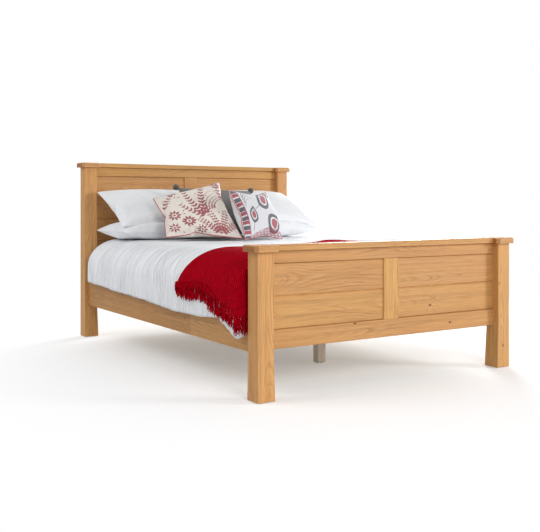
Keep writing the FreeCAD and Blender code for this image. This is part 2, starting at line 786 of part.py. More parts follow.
def threaded_inserts():
    """Threaded sleeves in the posts, one for each corner bolt."""
    sleeves = []
    for place, axis in bolt_places():
        mouth = place + axis * BRACKET_PLATE
        outer = Part.makeCylinder(INSERT_DIAMETER / 2, INSERT_LENGTH, mouth, axis)
        bore_start = mouth - axis * OVERCUT
        bore_length = INSERT_LENGTH + 2 * OVERCUT
        bore = Part.makeCylinder(BOLT_DIAMETER / 2, bore_length, bore_start, axis)
        sleeves.append(outer.cut(bore))
    return Part.makeCompound(sleeves)


def bolt_reach():
    """The whole holes that the bolts and their sleeves take in the posts."""
    holes = []
    for place, axis in bolt_places():
        mouth = place + axis * BRACKET_PLATE
        holes.append(Part.makeCylinder(INSERT_DIAMETER / 2, INSERT_LENGTH, mouth, axis))
        holes.append(Part.makeCylinder(BOLT_DIAMETER / 2, BOLT_LENGTH, place, axis))
    return Part.makeCompound(holes)


def bracket_screws():
    """Three screws through each bracket into its side rail."""
    screws = []
    z = BRACKET_LOW + BRACKET_HEIGHT / 2
    pitch = (BRACKET_RAIL_LEG - BRACKET_PLATE) / 4
    x = SIDE_RAIL_INNER_X - BRACKET_PLATE
    for side, end in CORNERS:
        for index in range(3):
            y = end * (INSIDE_LENGTH / 2 - BRACKET_RAIL_LEG + (index + 0.5) * pitch)
            screws.append(screw(V(side * x, y, z), V(side, 0, 0), BRACKET_SCREW_LENGTH))
    return Part.makeCompound(screws)


# ------------------------------------------------------------------ mattress, duvet and throw


def mattress():
    """Sprung mattress: a slab with round corners and soft edges."""
    half_x = MATTRESS_WIDTH / 2
    half_y = MATTRESS_LENGTH / 2
    outline = rounded_rectangle(-half_x, half_x, -half_y, half_y, MATTRESS_LOW, MATTRESS_CORNER)
    solid = Part.Face(outline).extrude(V(0, 0, MATTRESS_HEIGHT))
    rims = []
    for edge in solid.Edges:
        if edge.BoundBox.ZLength < SAME:
            rims.append(edge)
    return solid.makeFillet(MATTRESS_EDGE, rims)


def bedding_path(y, left_fold, right_fold, grown):
    """The duvet's outside across the bed, grown evenly, as edges from the left to the right."""
    corner = ((1 - y / BEDDING_END) / 2) ** DUVET_FLARE_SHARPNESS
    left = DUVET_SIDE_REACH + left_fold * DUVET_FOLD_DEPTH + grown
    right = DUVET_SIDE_REACH + right_fold * DUVET_FOLD_DEPTH + grown
    left_flare = DUVET_CORNER_FLARE_LEFT * corner
    right_flare = DUVET_CORNER_FLARE_RIGHT * corner
    top = DUVET_TOP + grown
    knee = DUVET_TOP - DUVET_SHOULDER_DROP
    flat = DUVET_SIDE_REACH - DUVET_SHOULDER
    share = 1 - math.sqrt(0.5)
    middle_z = top - share * (top - knee)
    left_shoulder = V(-left + share * (left - flat), y, middle_z)
    right_shoulder = V(right - share * (right - flat), y, middle_z)
    points = [
        V(-left - left_flare, y, BEDDING_BOTTOM),
        V(-left, y, knee),
        V(-flat, y, top),
        V(flat, y, top),
        V(right, y, knee),
        V(right + right_flare, y, BEDDING_BOTTOM),
    ]
    return [
        line(points[0], points[1]),
        arc(points[1], left_shoulder, points[2]),
        line(points[2], points[3]),
        arc(points[3], right_shoulder, points[4]),
        line(points[4], points[5]),
    ]


def path_ends(path):
    """The two free ends of a path of edges."""
    return path[0].valueAt(path[0].FirstParameter), path[-1].valueAt(path[-1].LastParameter)


def through_folds(outline):
    """A loft along the bed through the outline that a function gives at each fold."""
    outlines = []
    for place, left_fold, right_fold in SIDE_FOLDS:
        outlines.append(outline(place * BEDDING_END, left_fold, right_fold))
    return Part.makeLoft(outlines, True, False)


def bedding_block():
    """Everything inside the duvet's outside surface."""

    def outline(y, left_fold, right_fold):
        path = bedding_path(y, left_fold, right_fold, 0)
        start, end = path_ends(path)
        return Part.Wire(path + [line(end, start)])

    return through_folds(outline)


def bedding_sheet(inside, outside):
    """A sheet over the duvet, between two distances from its outside surface."""

    def outline(y, left_fold, right_fold):
        outer = bedding_path(y, left_fold, right_fold, outside)
        inner = bedding_path(y, left_fold, right_fold, inside)
        outer_start, outer_end = path_ends(outer)
        inner_start, inner_end = path_ends(inner)
        right_hem = line(outer_end, inner_end)
        left_hem = line(inner_start, outer_start)
        return Part.Wire(outer + [right_hem] + inner[::-1] + [left_hem])

    return through_folds(outline)


def arc_chain(points):
    """Arcs through every three points in turn."""
    return [arc(points[i], points[i + 1], points[i + 2]) for i in range(0, len(points) - 2, 2)]


def below_hem(hem, side):
    """What is cut away under a hem, on one side of the bed. hem lists (share of length, z)."""
    points = [V(0, share * BEDDING_END, z) for share, z in hem]
    start = points[0]
    end = points[-1]
    floor = BEDDING_BOTTOM - OVERCUT
    edges = arc_chain(points)
    edges.append(line(end, V(0, end.y, floor)))
    edges.append(line(V(0, end.y, floor), V(0, start.y, floor)))
    edges.append(line(V(0, start.y, floor), start))
    return Part.Face(Part.Wire(edges)).extrude(V(side * BED_WIDTH, 0, 0))


def duvet_hem():
    """The duvet's hem from foot to head: its foot corner hangs lowest."""
    return [(share, DUVET_HEM - drop) for share, drop in DUVET_HEM_DROPS]


def duvet():
    """Duvet over the mattress, hanging down both sides outside the side rails."""
    solid = bedding_block()
    shoulder_x = MATTRESS_WIDTH / 2 + SOFT_CLEARANCE
    knee = DUVET_TOP - DUVET_SHOULDER_DROP
    far = BEDDING_END + OVERCUT
    low = BEDDING_BOTTOM - OVERCUT
    hollow = [
        V(-DUVET_SIDE_INSIDE, -far, low),
        V(-DUVET_SIDE_INSIDE, -far, knee),
        V(-shoulder_x, -far, DUVET_LOW),
        V(shoulder_x, -far, DUVET_LOW),
        V(DUVET_SIDE_INSIDE, -far, knee),
        V(DUVET_SIDE_INSIDE, -far, low),
    ]
    solid = solid.cut(prism(hollow, V(0, 2 * far, 0)))
    for side in (-1, 1):
        solid = solid.cut(below_hem(duvet_hem(), side))
    return solid.Solids[0]


def throw_hem(length):
    """The lower edge of the throw from foot to head, or of its fringe with a length."""
    return [(share, THROW_HEM - length - drop * THROW_FOOT_DROP) for share, drop in THROW_HEM_DROPS]


def throw_window():
    """The stretch of the bed that the throw lies over: its upper edge runs a little askew."""
    reach = BED_WIDTH
    low = BEDDING_BOTTOM - OVERCUT
    foot = -BEDDING_END + THROW_END_ROOM
    plan = [
        V(-reach, foot, low),
        V(reach, foot, low),
        V(reach, foot + THROW_WIDTH_RIGHT, low),
        V(-reach, foot + THROW_WIDTH_LEFT, low),
    ]
    return prism(plan, V(0, 0, DUVET_TOP))


def throw():
    """Knitted throw across the foot of the bed, over the duvet, with its fringe at both sides."""
    window = throw_window()
    under = 2 * SOFT_CLEARANCE
    cloth = bedding_sheet(under, THROW_THICKNESS).common(window)
    band = bedding_sheet(under, FRINGE_THICKNESS).common(window)
    pieces = []
    for side in (-1, 1):
        hem = below_hem(throw_hem(0), side)
        cloth = cloth.cut(hem)
        pieces.append(band.common(hem).cut(below_hem(throw_hem(FRINGE_LENGTH), side)))
    return Part.makeCompound([cloth] + pieces)


# ------------------------------------------------------------------ pillows and cushions


def pad(width, depth, crown, underside, draw_in):
    """Filled pad lying level: crowned above and below, its four sides drawn in."""
    sections = []
    for share in PAD_SECTIONS:
        x = share * width / 2
        half = depth / 2 - draw_in * (1 - share**2)
        fullness = PAD_END_FULLNESS + (1 - PAD_END_FULLNESS) * (1 - share**4)
        above = crown * fullness
        below = underside * fullness
        left = V(x, -half, 0)
        right = V(x, half, 0)
        edges = [arc(left, V(x, 0, above), right), arc(right, V(x, 0, -below), left)]
        sections.append(Part.Wire(edges))
    solid = Part.makeLoft(sections, True, False)
    end = width / 2
    far = depth / 2 + OVERCUT
    waist = end - draw_in
    low = -underside - OVERCUT
    outline = [
        arc(V(-end, -far, low), V(-waist, 0, low), V(-end, far, low)),
        line(V(-end, far, low), V(end, far, low)),
        arc(V(end, far, low), V(waist, 0, low), V(end, -far, low)),
        line(V(end, -far, low), V(-end, -far, low)),
    ]
    trim = Part.Face(Part.Wire(outline)).extrude(V(0, 0, crown + underside + 2 * OVERCUT))
    return solid.common(trim).Solids[0]


def placed(shape, x, y, z, lean, yaw, roll):
    """Turn a level pad: roll in its own plane, stand it up to lean back, turn it, and move it."""
    solid = shape.copy()
    centre = V(0, 0, 0)
    solid.rotate(centre, V(0, 0, 1), roll)
    solid.rotate(centre, V(1, 0, 0), 90 - lean)
    solid.rotate(centre, V(0, 0, 1), yaw)
    solid.translate(V(x, y, z))
    return solid


def over_each_other(one, other):
    """Whether two pieces overlap seen from above."""
    a = one.BoundBox
    b = other.BoundBox
    return a.XMin < b.XMax and b.XMin < a.XMax and a.YMin < b.YMax and b.YMin < a.YMax


def rested(shape, supports):
    """Lower a piece straight down until it is one soft clearance clear of what is under it."""
    solid = shape.copy()
    under = [support for support in supports if over_each_other(solid, support)]
    gap = min(solid.distToShape(support)[0] for support in under)
    step = gap - SOFT_CLEARANCE
    for _ in range(SETTLE_STEPS):
        solid.translate(V(0, 0, -step))
        left = min(solid.distToShape(support)[0] for support in under)
        if left < SOFT_CLEARANCE / 2:
            solid.translate(V(0, 0, step))
            step /= 2
            continue
        closed = (gap - left) / step
        gap = left
        if gap < SOFT_CLEARANCE * 1.5:
            break
        step = (gap - SOFT_CLEARANCE) / max(closed, SLOWEST_CLOSING)
    return solid


def scatter_cushion(spec, supports):
    """A scatter cushion, leaned back and let down on the bedding behind and under it."""
    width, height, crown, draw_in = spec["size"]
    x, from_head = spec["place"]
    lean, yaw, roll = spec["turn"]
    y = BEDDING_END - from_head
    start = DUVET_TOP + height / 2 + SETTLE_START
    solid = placed(pad(width, height, crown, crown, draw_in), x, y, start, lean, yaw, roll)
    return rested(solid, supports)


def lower_pillow(cover):
    """Left pillow lying flat against the headboard end."""
    x = -(PILLOW_WIDTH + PILLOW_GAP) / 2
    y = BEDDING_END - PILLOW_DEPTH / 2
    z = DUVET_TOP + SETTLE_START
    shape = pad(PILLOW_WIDTH, PILLOW_DEPTH, PILLOW_CROWN, PILLOW_UNDERSIDE, PILLOW_DRAW_IN)
    return rested(placed(shape, x, y, z, 90, 0, 0), [cover])


def upper_pillow(below):
    """Left pillow on the flat one, tipped up against the headboard."""
    x = -(PILLOW_WIDTH + PILLOW_GAP) / 2
    tip = math.radians(UPPER_PILLOW_LEAN)
    y = BEDDING_END - PILLOW_DEPTH / 2 * math.cos(tip)
    z = DUVET_TOP + PILLOW_DEPTH / 2
    shape = pad(PILLOW_WIDTH, PILLOW_DEPTH, UPPER_PILLOW_CROWN, UPPER_PILLOW_UNDERSIDE, PILLOW_DRAW_IN)
    tipped = placed(shape, x, y, z + SETTLE_START, 90 - UPPER_PILLOW_LEAN, 0, 0)
    tipped.translate(V(0, min(0.0, BEDDING_END - tipped.BoundBox.YMax), 0))
    return rested(tipped, [below])


# ------------------------------------------------------------------ building everything


def end_of_bed(head):
    """All the pieces of the headboard or the footboard, by name."""
    name = "headboard" if head else "footboard"
    pieces = {
        name + "_cap_rail": cap_rail(head),
        name + "_top_rail": top_rail(head),
        name + "_bottom_rail": bottom_rail(head),
        name + "_muntin": muntin(head),
    }
    for left, side in ((True, "left"), (False, "right")):
        pieces[f"{name}_post_{side}"] = post(left, head)
        pieces[f"{name}_post_cap_{side}"] = post_cap(left, head)
        for row in range(1, board_layout(head)["rows"] + 1):
            pieces[f"{name}_board_{side}_{row}"] = board(head, left, row)
    return pieces


def bored(pieces, names, cutter):
    """Make the holes for one group of fasteners in the pieces that they go through."""
    for name in names:
        pieces[name] = pieces[name].cut(cutter)


def wooden_frame():
    """Every rigid piece of the bed, with the holes for its fasteners."""
    pieces = {**end_of_bed(True), **end_of_bed(False)}
    pieces["side_rail_left"] = side_rail()
    pieces["side_rail_right"] = mirrored_x(side_rail())
    pieces["slat_ledger_left"] = slat_ledger()
    pieces["slat_ledger_right"] = mirrored_x(slat_ledger())
    pieces["centre_rail"] = centre_rail()
    pieces["centre_rail_saddles"] = centre_rail_saddles()
    pieces["centre_leg_foot"] = centre_leg(-1)
    pieces["centre_leg_head"] = centre_leg(1)
    pieces["slats"] = slats()
    pieces["corner_brackets"] = corner_brackets()
    posts = [f"{end}board_post_{side}" for end in ("head", "foot") for side in ("left", "right")]
    caps = [f"{end}board_post_cap_{side}" for end in ("head", "foot") for side in ("left", "right")]
    rails = ["side_rail_left", "side_rail_right"]
    ledgers = ["slat_ledger_left", "slat_ledger_right"]
    legs = ["centre_leg_foot", "centre_leg_head"]
    frame_rails = ["headboard_top_rail", "headboard_cap_rail", "footboard_top_rail", "footboard_cap_rail"]
    bottom_rails = ["headboard_bottom_rail", "footboard_bottom_rail"]
    fasteners = {
        "cap_dowels": (cap_dowels(), posts + caps + frame_rails),
        "slat_screws": (slat_screws(), ["slats"] + ledgers),
        "ledger_screws": (ledger_screws(), ledgers + rails),
        "saddle_screws": (saddle_screws(), ["centre_rail_saddles"] + bottom_rails),
        "leg_screws": (leg_screws(), ["centre_rail"] + legs),
        "bracket_screws": (bracket_screws(), ["corner_brackets"] + rails),
        "floor_glides": (floor_glides(), posts + legs),
    }
    for name, (shape, through) in fasteners.items():
        bored(pieces, through, shape)
        pieces[name] = shape
    bored(pieces, posts, bolt_reach())
    bored(pieces, ["corner_brackets"], corner_bolts())
    pieces["corner_bolts"] = corner_bolts()
    pieces["threaded_inserts"] = threaded_inserts()
    return pieces


def bedding():
    """Mattress, duvet, throw, pillows and cushions, each resting on what is under it."""
    cover = duvet()
    low_left = lower_pillow(cover)
    high_left = upper_pillow(low_left)
    low_right = mirrored_x(low_left)
    high_right = mirrored_x(high_left)
    pillows = [low_left, high_left, low_right, high_right]
    grey = scatter_cushion(GREY_CUSHION, [cover] + pillows)
    sprig = scatter_cushion(SPRIG_CUSHION, [cover, grey] + pillows)
    patchwork = scatter_cushion(PATCHWORK_CUSHION, [cover, grey, sprig] + pillows)
    return {
        "mattress": mattress(),
        "duvet": cover,
        "throw": throw(),
        "pillow_left_lower": low_left,
        "pillow_left_upper": high_left,
        "pillow_right_lower": low_right,
        "pillow_right_upper": high_right,
        "cushion_grey": grey,
        "cushion_sprig": sprig,
        "cushion_patchwork": patchwork,
    }


os.makedirs("parts", exist_ok=True)
for node, piece in {**wooden_frame(), **bedding()}.items():
    save(node, piece)
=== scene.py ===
# %% [markdown]
# # A panelled oak bed, dressed with its bedding
#
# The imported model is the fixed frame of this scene: every board, post and screw already stands at
# its real size and place. This script gives those pieces their finish, and makes the soft things
# (duvet, pillows, cushions, throw and mattress) as meshes that take the place of plain solids.

# %% Load the frame
import math
import random

import bmesh
import bpy
import numpy as np
from mathutils import Matrix, Vector, noise


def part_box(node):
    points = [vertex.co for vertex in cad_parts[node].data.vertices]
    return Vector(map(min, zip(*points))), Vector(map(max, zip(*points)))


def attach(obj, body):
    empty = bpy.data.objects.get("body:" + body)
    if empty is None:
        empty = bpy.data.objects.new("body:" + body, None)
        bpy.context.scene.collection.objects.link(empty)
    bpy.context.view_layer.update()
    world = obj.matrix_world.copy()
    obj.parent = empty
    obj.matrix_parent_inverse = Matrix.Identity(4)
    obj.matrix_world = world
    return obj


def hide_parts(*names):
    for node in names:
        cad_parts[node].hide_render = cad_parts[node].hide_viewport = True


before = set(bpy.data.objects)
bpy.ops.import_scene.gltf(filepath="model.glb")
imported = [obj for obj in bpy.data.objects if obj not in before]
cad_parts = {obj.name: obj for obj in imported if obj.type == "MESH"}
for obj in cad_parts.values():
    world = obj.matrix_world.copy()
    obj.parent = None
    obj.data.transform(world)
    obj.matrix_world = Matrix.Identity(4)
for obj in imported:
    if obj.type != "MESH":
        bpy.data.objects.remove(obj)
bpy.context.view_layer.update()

print("pieces in the frame:", len(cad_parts))

# %% [markdown]
# ## The camera
#
# A photograph of furniture is usually taken with the camera level and the lens shifted down, so
# that upright posts stay upright in the picture. The same is done here: the camera is never
# tilted, and the shift moves the picture down. The focal length is for a 36 mm wide sensor.

# %% Camera
CAMERA_PLACE = (-2.522, -3.956, 0.821)
CAMERA_TURN = math.radians(-32.352)
SENSOR_WIDTH = 36
FOCAL_LENGTH = 55.84
PICTURE_SHIFT = -0.117

lens = bpy.data.cameras.new("camera")
lens.sensor_width = SENSOR_WIDTH
lens.lens = FOCAL_LENGTH
lens.shift_y = PICTURE_SHIFT
lens.clip_end = 100
camera = bpy.data.objects.new("camera", lens)
camera.location = CAMERA_PLACE
camera.rotation_euler = (math.pi / 2, 0, CAMERA_TURN)
bpy.context.scene.collection.objects.link(camera)
bpy.context.scene.camera = camera
bpy.context.scene.view_settings.view_transform = "Standard"
print("camera: lens", FOCAL_LENGTH, "mm,", round(Vector(CAMERA_PLACE).length, 2), "m from the bed's middle")

# %% [markdown]
# ## Small helpers for materials
#
# Colours are written as sRGB hex values, which is how they are read off a swatch, and one function
# turns them into the linear values that a shader works with. A second function adds a shader node
# together with its settings and its links, which keeps each material's recipe short enough to read.
# A node that is handed to another one stands for its own first output.


# %% Colour and node helpers
def colour(hex_value):
    """An sRGB hex colour as linear red, green, blue and alpha."""
    channels = [int(hex_value[i:i + 2], 16) / 255 for i in (1, 3, 5)]
    linear = [c / 12.92 if c <= 0.04045 else ((c + 0.055) / 1.055) ** 2.4 for c in channels]
    return (*linear, 1.0)


def add(material, kind, settings=None, inputs=None, stops=()):
    """A new shader node in a material. Its inputs, in order or by name, are numbers, colours,
    sockets or other nodes. The stops of a colour ramp are (position, grey)."""
    made = material.node_tree.nodes.new("ShaderNode" + kind)
    for key, value in (settings or {}).items():
        setattr(made, key, value)
    by_key = inputs if isinstance(inputs, dict) else dict(enumerate(inputs or ()))
    for key, value in by_key.items():
        if isinstance(value, bpy.types.Node):
            value = next(socket for socket in value.outputs if socket.enabled)
        if isinstance(value, bpy.types.NodeSocket):
            material.node_tree.links.new(value, made.inputs[key])
        else:
            made.inputs[key].default_value = value
    for index, (position, grey) in enumerate(stops):
        elements = made.color_ramp.elements
        stop = elements[index] if index < len(elements) else elements.new(1.0)
        stop.position = position
        stop.color = (grey, grey, grey, 1)
    return made


def new_material(name):
    """A material with an empty node tree and its surface output."""
    material = bpy.data.materials.new(name)
    material.use_nodes = True
    material.node_tree.nodes.clear()
    add(material, "OutputMaterial")
    return material


def finish_surface(material, shader):
    """Link a shader to the material's surface."""
    output = material.node_tree.nodes["Material Output"]
    material.node_tree.links.new(shader.outputs[0], output.inputs["Surface"])
    return material


# Settings of a Mix node that mixes or multiplies two colours, and the sockets it takes them from
BLEND = {"data_type": "RGBA", "blend_type": "MIX"}
TINT = {"data_type": "RGBA", "blend_type": "MULTIPLY"}
MIX_A, MIX_B = 6, 7
print("white as a shader sees it:", colour("#FFFFFF"))


# %% [markdown]
# ## The floor, the background and the light
#
# The bed stands in a white studio. The floor is a pale surface that keeps the bed's shadow. A
# little emission that only the camera and reflections see lifts it to white, and further out the
# floor turns wholly white, so that no horizon shows. The world is white to the camera in the same
# way, while what it lights with is plain and even.

# %% Floor and world
FLOOR_SIZE = 60.0
FLOOR_LIFT = 0.24
FLOOR_WHITE_FROM = 1.9
FLOOR_WHITE_AT = 3.0
FLOOR_CENTRE = (0.9, -0.7, 0.0)
WORLD_LEVEL = 0.44


def seen_directly(material):
    """1 for rays from the camera, from a reflection or through glass, 0 for light on surfaces."""
    path = add(material, "LightPath")
    seen = add(material, "Math", {"operation": "MAXIMUM"},
               [path.outputs["Is Camera Ray"], path.outputs["Is Glossy Ray"]])
    return add(material, "Math", {"operation": "MAXIMUM"}, [seen, path.outputs["Is Transmission Ray"]])


def studio_floor():
    """Pale floor that turns white away from the bed."""
    material = new_material("pale_studio_floor")
    place = add(material, "TexCoord").outputs["Object"]
    distance = add(material, "VectorMath", {"operation": "DISTANCE"},
                   {0: place, 1: FLOOR_CENTRE})
    away = add(material, "MapRange", {"interpolation_type": "SMOOTHSTEP"},
               {0: distance, 1: FLOOR_WHITE_FROM, 2: FLOOR_WHITE_AT, 3: 0.0, 4: 1.0})
    seen = seen_directly(material)
    lift = add(material, "Math", {"operation": "MULTIPLY"}, [FLOOR_LIFT, seen])
    ground = add(material, "BsdfDiffuse", inputs={"Color": colour("#EEEFF0")})
    lifted = add(material, "Emission", inputs={"Color": colour("#FFFFFF"), "Strength": lift})
    near = add(material, "AddShader", inputs={0: ground, 1: lifted})
    white = add(material, "Emission", inputs={"Color": colour("#FFFFFF"), "Strength": 1.0})
    share = add(material, "Math", {"operation": "MULTIPLY"}, [away, seen])
    shader = add(material, "MixShader", inputs={0: share, 1: near, 2: white})
    return finish_surface(material, shader)


floor_mesh = bpy.data.meshes.new("floor")
floor_bm = bmesh.new()
bmesh.ops.create_grid(floor_bm, x_segments=1, y_segments=1, size=FLOOR_SIZE / 2)
floor_bm.to_mesh(floor_mesh)
floor_bm.free()
floor = bpy.data.objects.new("floor", floor_mesh)
floor.data.materials.append(studio_floor())
bpy.context.scene.collection.objects.link(floor)
print("floor:", FLOOR_SIZE, "m wide, white from", FLOOR_WHITE_AT, "m out")

world = bpy.data.worlds.new("studio")
world.use_nodes = True
world.node_tree.nodes.clear()
plain_light = add(world, "Background", inputs={"Color": colour("#FFFFFF"), "Strength": WORLD_LEVEL})
white_backdrop = add(world, "Background", inputs={"Color": colour("#FFFFFF"), "Strength": 1.0})
backdrop = add(world, "MixShader", inputs={0: seen_directly(world), 1: plain_light,
                                           2: white_backdrop})
add(world, "OutputWorld", inputs={"Surface": backdrop})
bpy.context.scene.world = world

# %% [markdown]
# The room itself is bright, so most of the light comes evenly from everywhere. The main lamp stands
# in front of the foot end, a little to the left, and lights the footboard more than the headboard. A
# lamp to its right throws the right post's soft shadow over the boards beside it. A third one stands
# low on the right of the headboard and catches the far posts. A weak one hangs high on the left: it
# opens up the bedding's side and leaves the rail under it in shade. All are large, which keeps every
# edge of shadow soft.

# %% Lamps
BED_MIDDLE = Vector((0, 0, 0.45))


def softbox(name, place, size, power):
    """A square area lamp at a place, turned towards the bed: its side in metres, its power in watts."""
    lamp = bpy.data.lights.new(name, "AREA")
    lamp.size = size
    lamp.energy = power
    box = bpy.data.objects.new(name, lamp)
    box.location = place
    box.rotation_euler = (BED_MIDDLE - Vector(place)).to_track_quat("-Z", "Y").to_euler()
    bpy.context.scene.collection.objects.link(box)
    print("lamp:", name, power, "W")


softbox("key_from_front", (-1.2, -5.3, 2.7), 1.8, 80)
softbox("right_of_foot", (7.0, -6.6, 2.3), 2.4, 425)
softbox("right_of_head", (3.4, 2.9, 1.7), 1.6, 215)
softbox("fill_from_left", (-3.4, 0.4, 3.2), 2.2, 46)

# %% [markdown]
# ## Oiled oak
#
# Oak is ring-porous: each year's early wood is a band of open pores that looks darker and coarse,
# and the late wood that follows is dense and pale. What a board shows depends on how it was cut.
# So the wood is worked out as a log. Rings lie around a pith line that runs along the grain, some
# way behind the face, and the face simply shows where it cuts them: nested arches on a board cut
# near the middle of the log, straight lines on one cut far from it, and rings on end grain. Each
# piece gets its own log, so no two boards match.
#
# Year rings are about 4 mm apart. Real oak pores are only 0.3 mm wide and its fibres finer still,
# too fine to show in the picture, so both are drawn several times as coarse.

# %% Oak, the log's numbers
RING_SPACING = 0.0042
FIBRE_PITCH = 0.0016
PORE_PITCH = 0.0026
FIBRE_STRETCH = 60
PORE_STRETCH = 22
RING_WAVER = 0.048
OAK_PALE = "#D7A76E"
OAK_EARLY = "#A06838"
OAK_PORE = "#784A2A"
OAK_YELLOW = "#CE9A54"
OAK_PINK = "#CA905C"
OAK_KNOT = "#4E2F18"
OAK_END_GRAIN = "#B98F66"
JOINT_LINE = 0.0014


def grain_turn(grain):
    """The turn that brings the grain's direction to Z."""
    return {"X": (0, -math.pi / 2, 0), "Y": (math.pi / 2, 0, 0), "Z": (0, 0, 0)}[grain]


def patches(material, log, across, along, detail=2.0):
    """Soft noise on the log, with so many patches in a metre across the grain and along it."""
    drawn = add(material, "Mapping", inputs={"Vector": log, "Scale": (across, across, along)})
    return add(material, "TexNoise", {"noise_dimensions": "3D"},
               {"Vector": drawn, "Scale": 1.0, "Detail": detail})


# %% [markdown]
# The rings come first. For every point of the piece the material works out how far it lies from the
# pith. The log's taper and its wandering rings are added to that, and where a branch left a knot
# the rings bulge round it.


# %% Oak, rings and knots
def log_place(material, place, grain, pith):
    """The place of each point in its log, with the pith along Z."""
    turn = Matrix.Identity(3)
    for axis, angle in zip("XYZ", grain_turn(grain)):
        turn = Matrix.Rotation(angle, 3, axis) @ turn
    shift = -(turn @ Vector(pith))
    return add(material, "Mapping", inputs={"Vector": place, "Location": shift,
                                            "Rotation": grain_turn(grain)})


def ring_radius(material, log, taper):
    """How far each point lies from the pith, with the log's taper and its wandering rings."""
    parts = add(material, "SeparateXYZ", inputs=[log])
    flat = add(material, "CombineXYZ", inputs=[parts.outputs[0], parts.outputs[1]])
    radius = add(material, "VectorMath", {"operation": "LENGTH"}, [flat])
    radius = add(material, "Math", {"operation": "MULTIPLY_ADD"}, [parts.outputs[2], taper, radius])
    wander = add(material, "Math", {"operation": "SUBTRACT"}, [patches(material, log, 5.0, 1.6), 0.5])
    radius = add(material, "Math", {"operation": "MULTIPLY_ADD"}, [wander, RING_WAVER, radius])
    ripple = add(material, "Math", {"operation": "SUBTRACT"}, [patches(material, log, 38.0, 4.0, 3.0), 0.5])
    return add(material, "Math", {"operation": "MULTIPLY_ADD"}, [ripple, RING_SPACING, radius])


def knotted(material, place, grain, radius, knots):
    """The rings bulged round each knot, and how deep in a knot's dark core each point lies."""
    core = None
    for spot, size in knots:
        offset = add(material, "VectorMath", {"operation": "SUBTRACT"}, [place, spot])
        turned = add(material, "Mapping", inputs={"Vector": offset, "Rotation": grain_turn(grain)})
        oval = add(material, "Mapping", inputs={"Vector": turned, "Scale": (1, 1, 0.55)})
        away = add(material, "VectorMath", {"operation": "LENGTH"}, [oval])
        bulge = add(material, "MapRange", {"interpolation_type": "SMOOTHERSTEP"},
                    [away, 0.0, size * 7, size * 3.2, 0.0])
        radius = add(material, "Math", {"operation": "ADD"}, [radius, bulge])
        dark = add(material, "MapRange", {"interpolation_type": "SMOOTHSTEP"},
                   [away, size * 0.35, size, 1.0, 0.0])
        core = dark if core is None else add(material, "Math", {"operation": "MAXIMUM"}, [core, dark])
    return radius, core


# %% [markdown]
# Then the colour. Each ring starts with a dark porous band and fades to pale late wood. Fibres and
# faint streaks run along the grain, pores gather in the dark bands, end grain drinks more oil and
# is darker, and where a rail is joined from two lengths a fine line and a change of tone show.


# %% Oak, its colour
def early_wood(material, log, radius):
    """How much of each point is dark early wood."""
    years = add(material, "Math", {"operation": "DIVIDE"}, [radius, RING_SPACING])
    uneven = add(material, "TexNoise", {"noise_dimensions": "1D"}, {"W": years, "Scale": 0.35})
    years = add(material, "Math", {"operation": "MULTIPLY_ADD"}, [uneven, 2.5, years])
    season = add(material, "Math", {"operation": "FRACT"}, [years])
    early = add(material, "ValToRGB", inputs=[season],
                stops=[(0.0, 0.9), (0.12, 1.0), (0.42, 0.28), (0.95, 0.0), (1.0, 0.9)])
    strength = patches(material, log, 9.0, 2.0)
    strength = add(material, "ValToRGB", inputs=[strength], stops=[(0.35, 0.12), (0.70, 0.95)])
    return add(material, "Math", {"operation": "MULTIPLY"}, [early, strength])


def end_grain(material, grain, wood):
    """The wood with its end grain darkened."""
    normal = add(material, "NewGeometry").outputs["Normal"]
    end = add(material, "SeparateXYZ", inputs=[normal]).outputs["XYZ".index(grain)]
    end = add(material, "Math", {"operation": "ABSOLUTE"}, [end])
    end = add(material, "ValToRGB", inputs=[end], stops=[(0.6, 0.0), (0.95, 0.75)])
    darker = add(material, "Mix", TINT, {0: 1.0, MIX_A: wood, MIX_B: colour(OAK_END_GRAIN)})
    return add(material, "Mix", BLEND, {0: end, MIX_A: wood, MIX_B: darker})


def butt_joint(material, place, grain, wood, joint):
    """The wood in two lengths that meet at a place along the grain."""
    reach = add(material, "SeparateXYZ", inputs=[place]).outputs["XYZ".index(grain)]
    beyond = add(material, "Math", {"operation": "GREATER_THAN"}, [reach, joint])
    second = add(material, "Mix", TINT, {0: 1.0, MIX_A: wood, MIX_B: colour("#F2EEE8")})
    wood = add(material, "Mix", BLEND, {0: beyond, MIX_A: wood, MIX_B: second})
    line = add(material, "Math", {"operation": "COMPARE"}, [reach, joint, JOINT_LINE])
    line = add(material, "Math", {"operation": "MULTIPLY"}, [line, 0.6])
    return add(material, "Mix", BLEND, {0: line, MIX_A: wood, MIX_B: colour(OAK_PORE)})


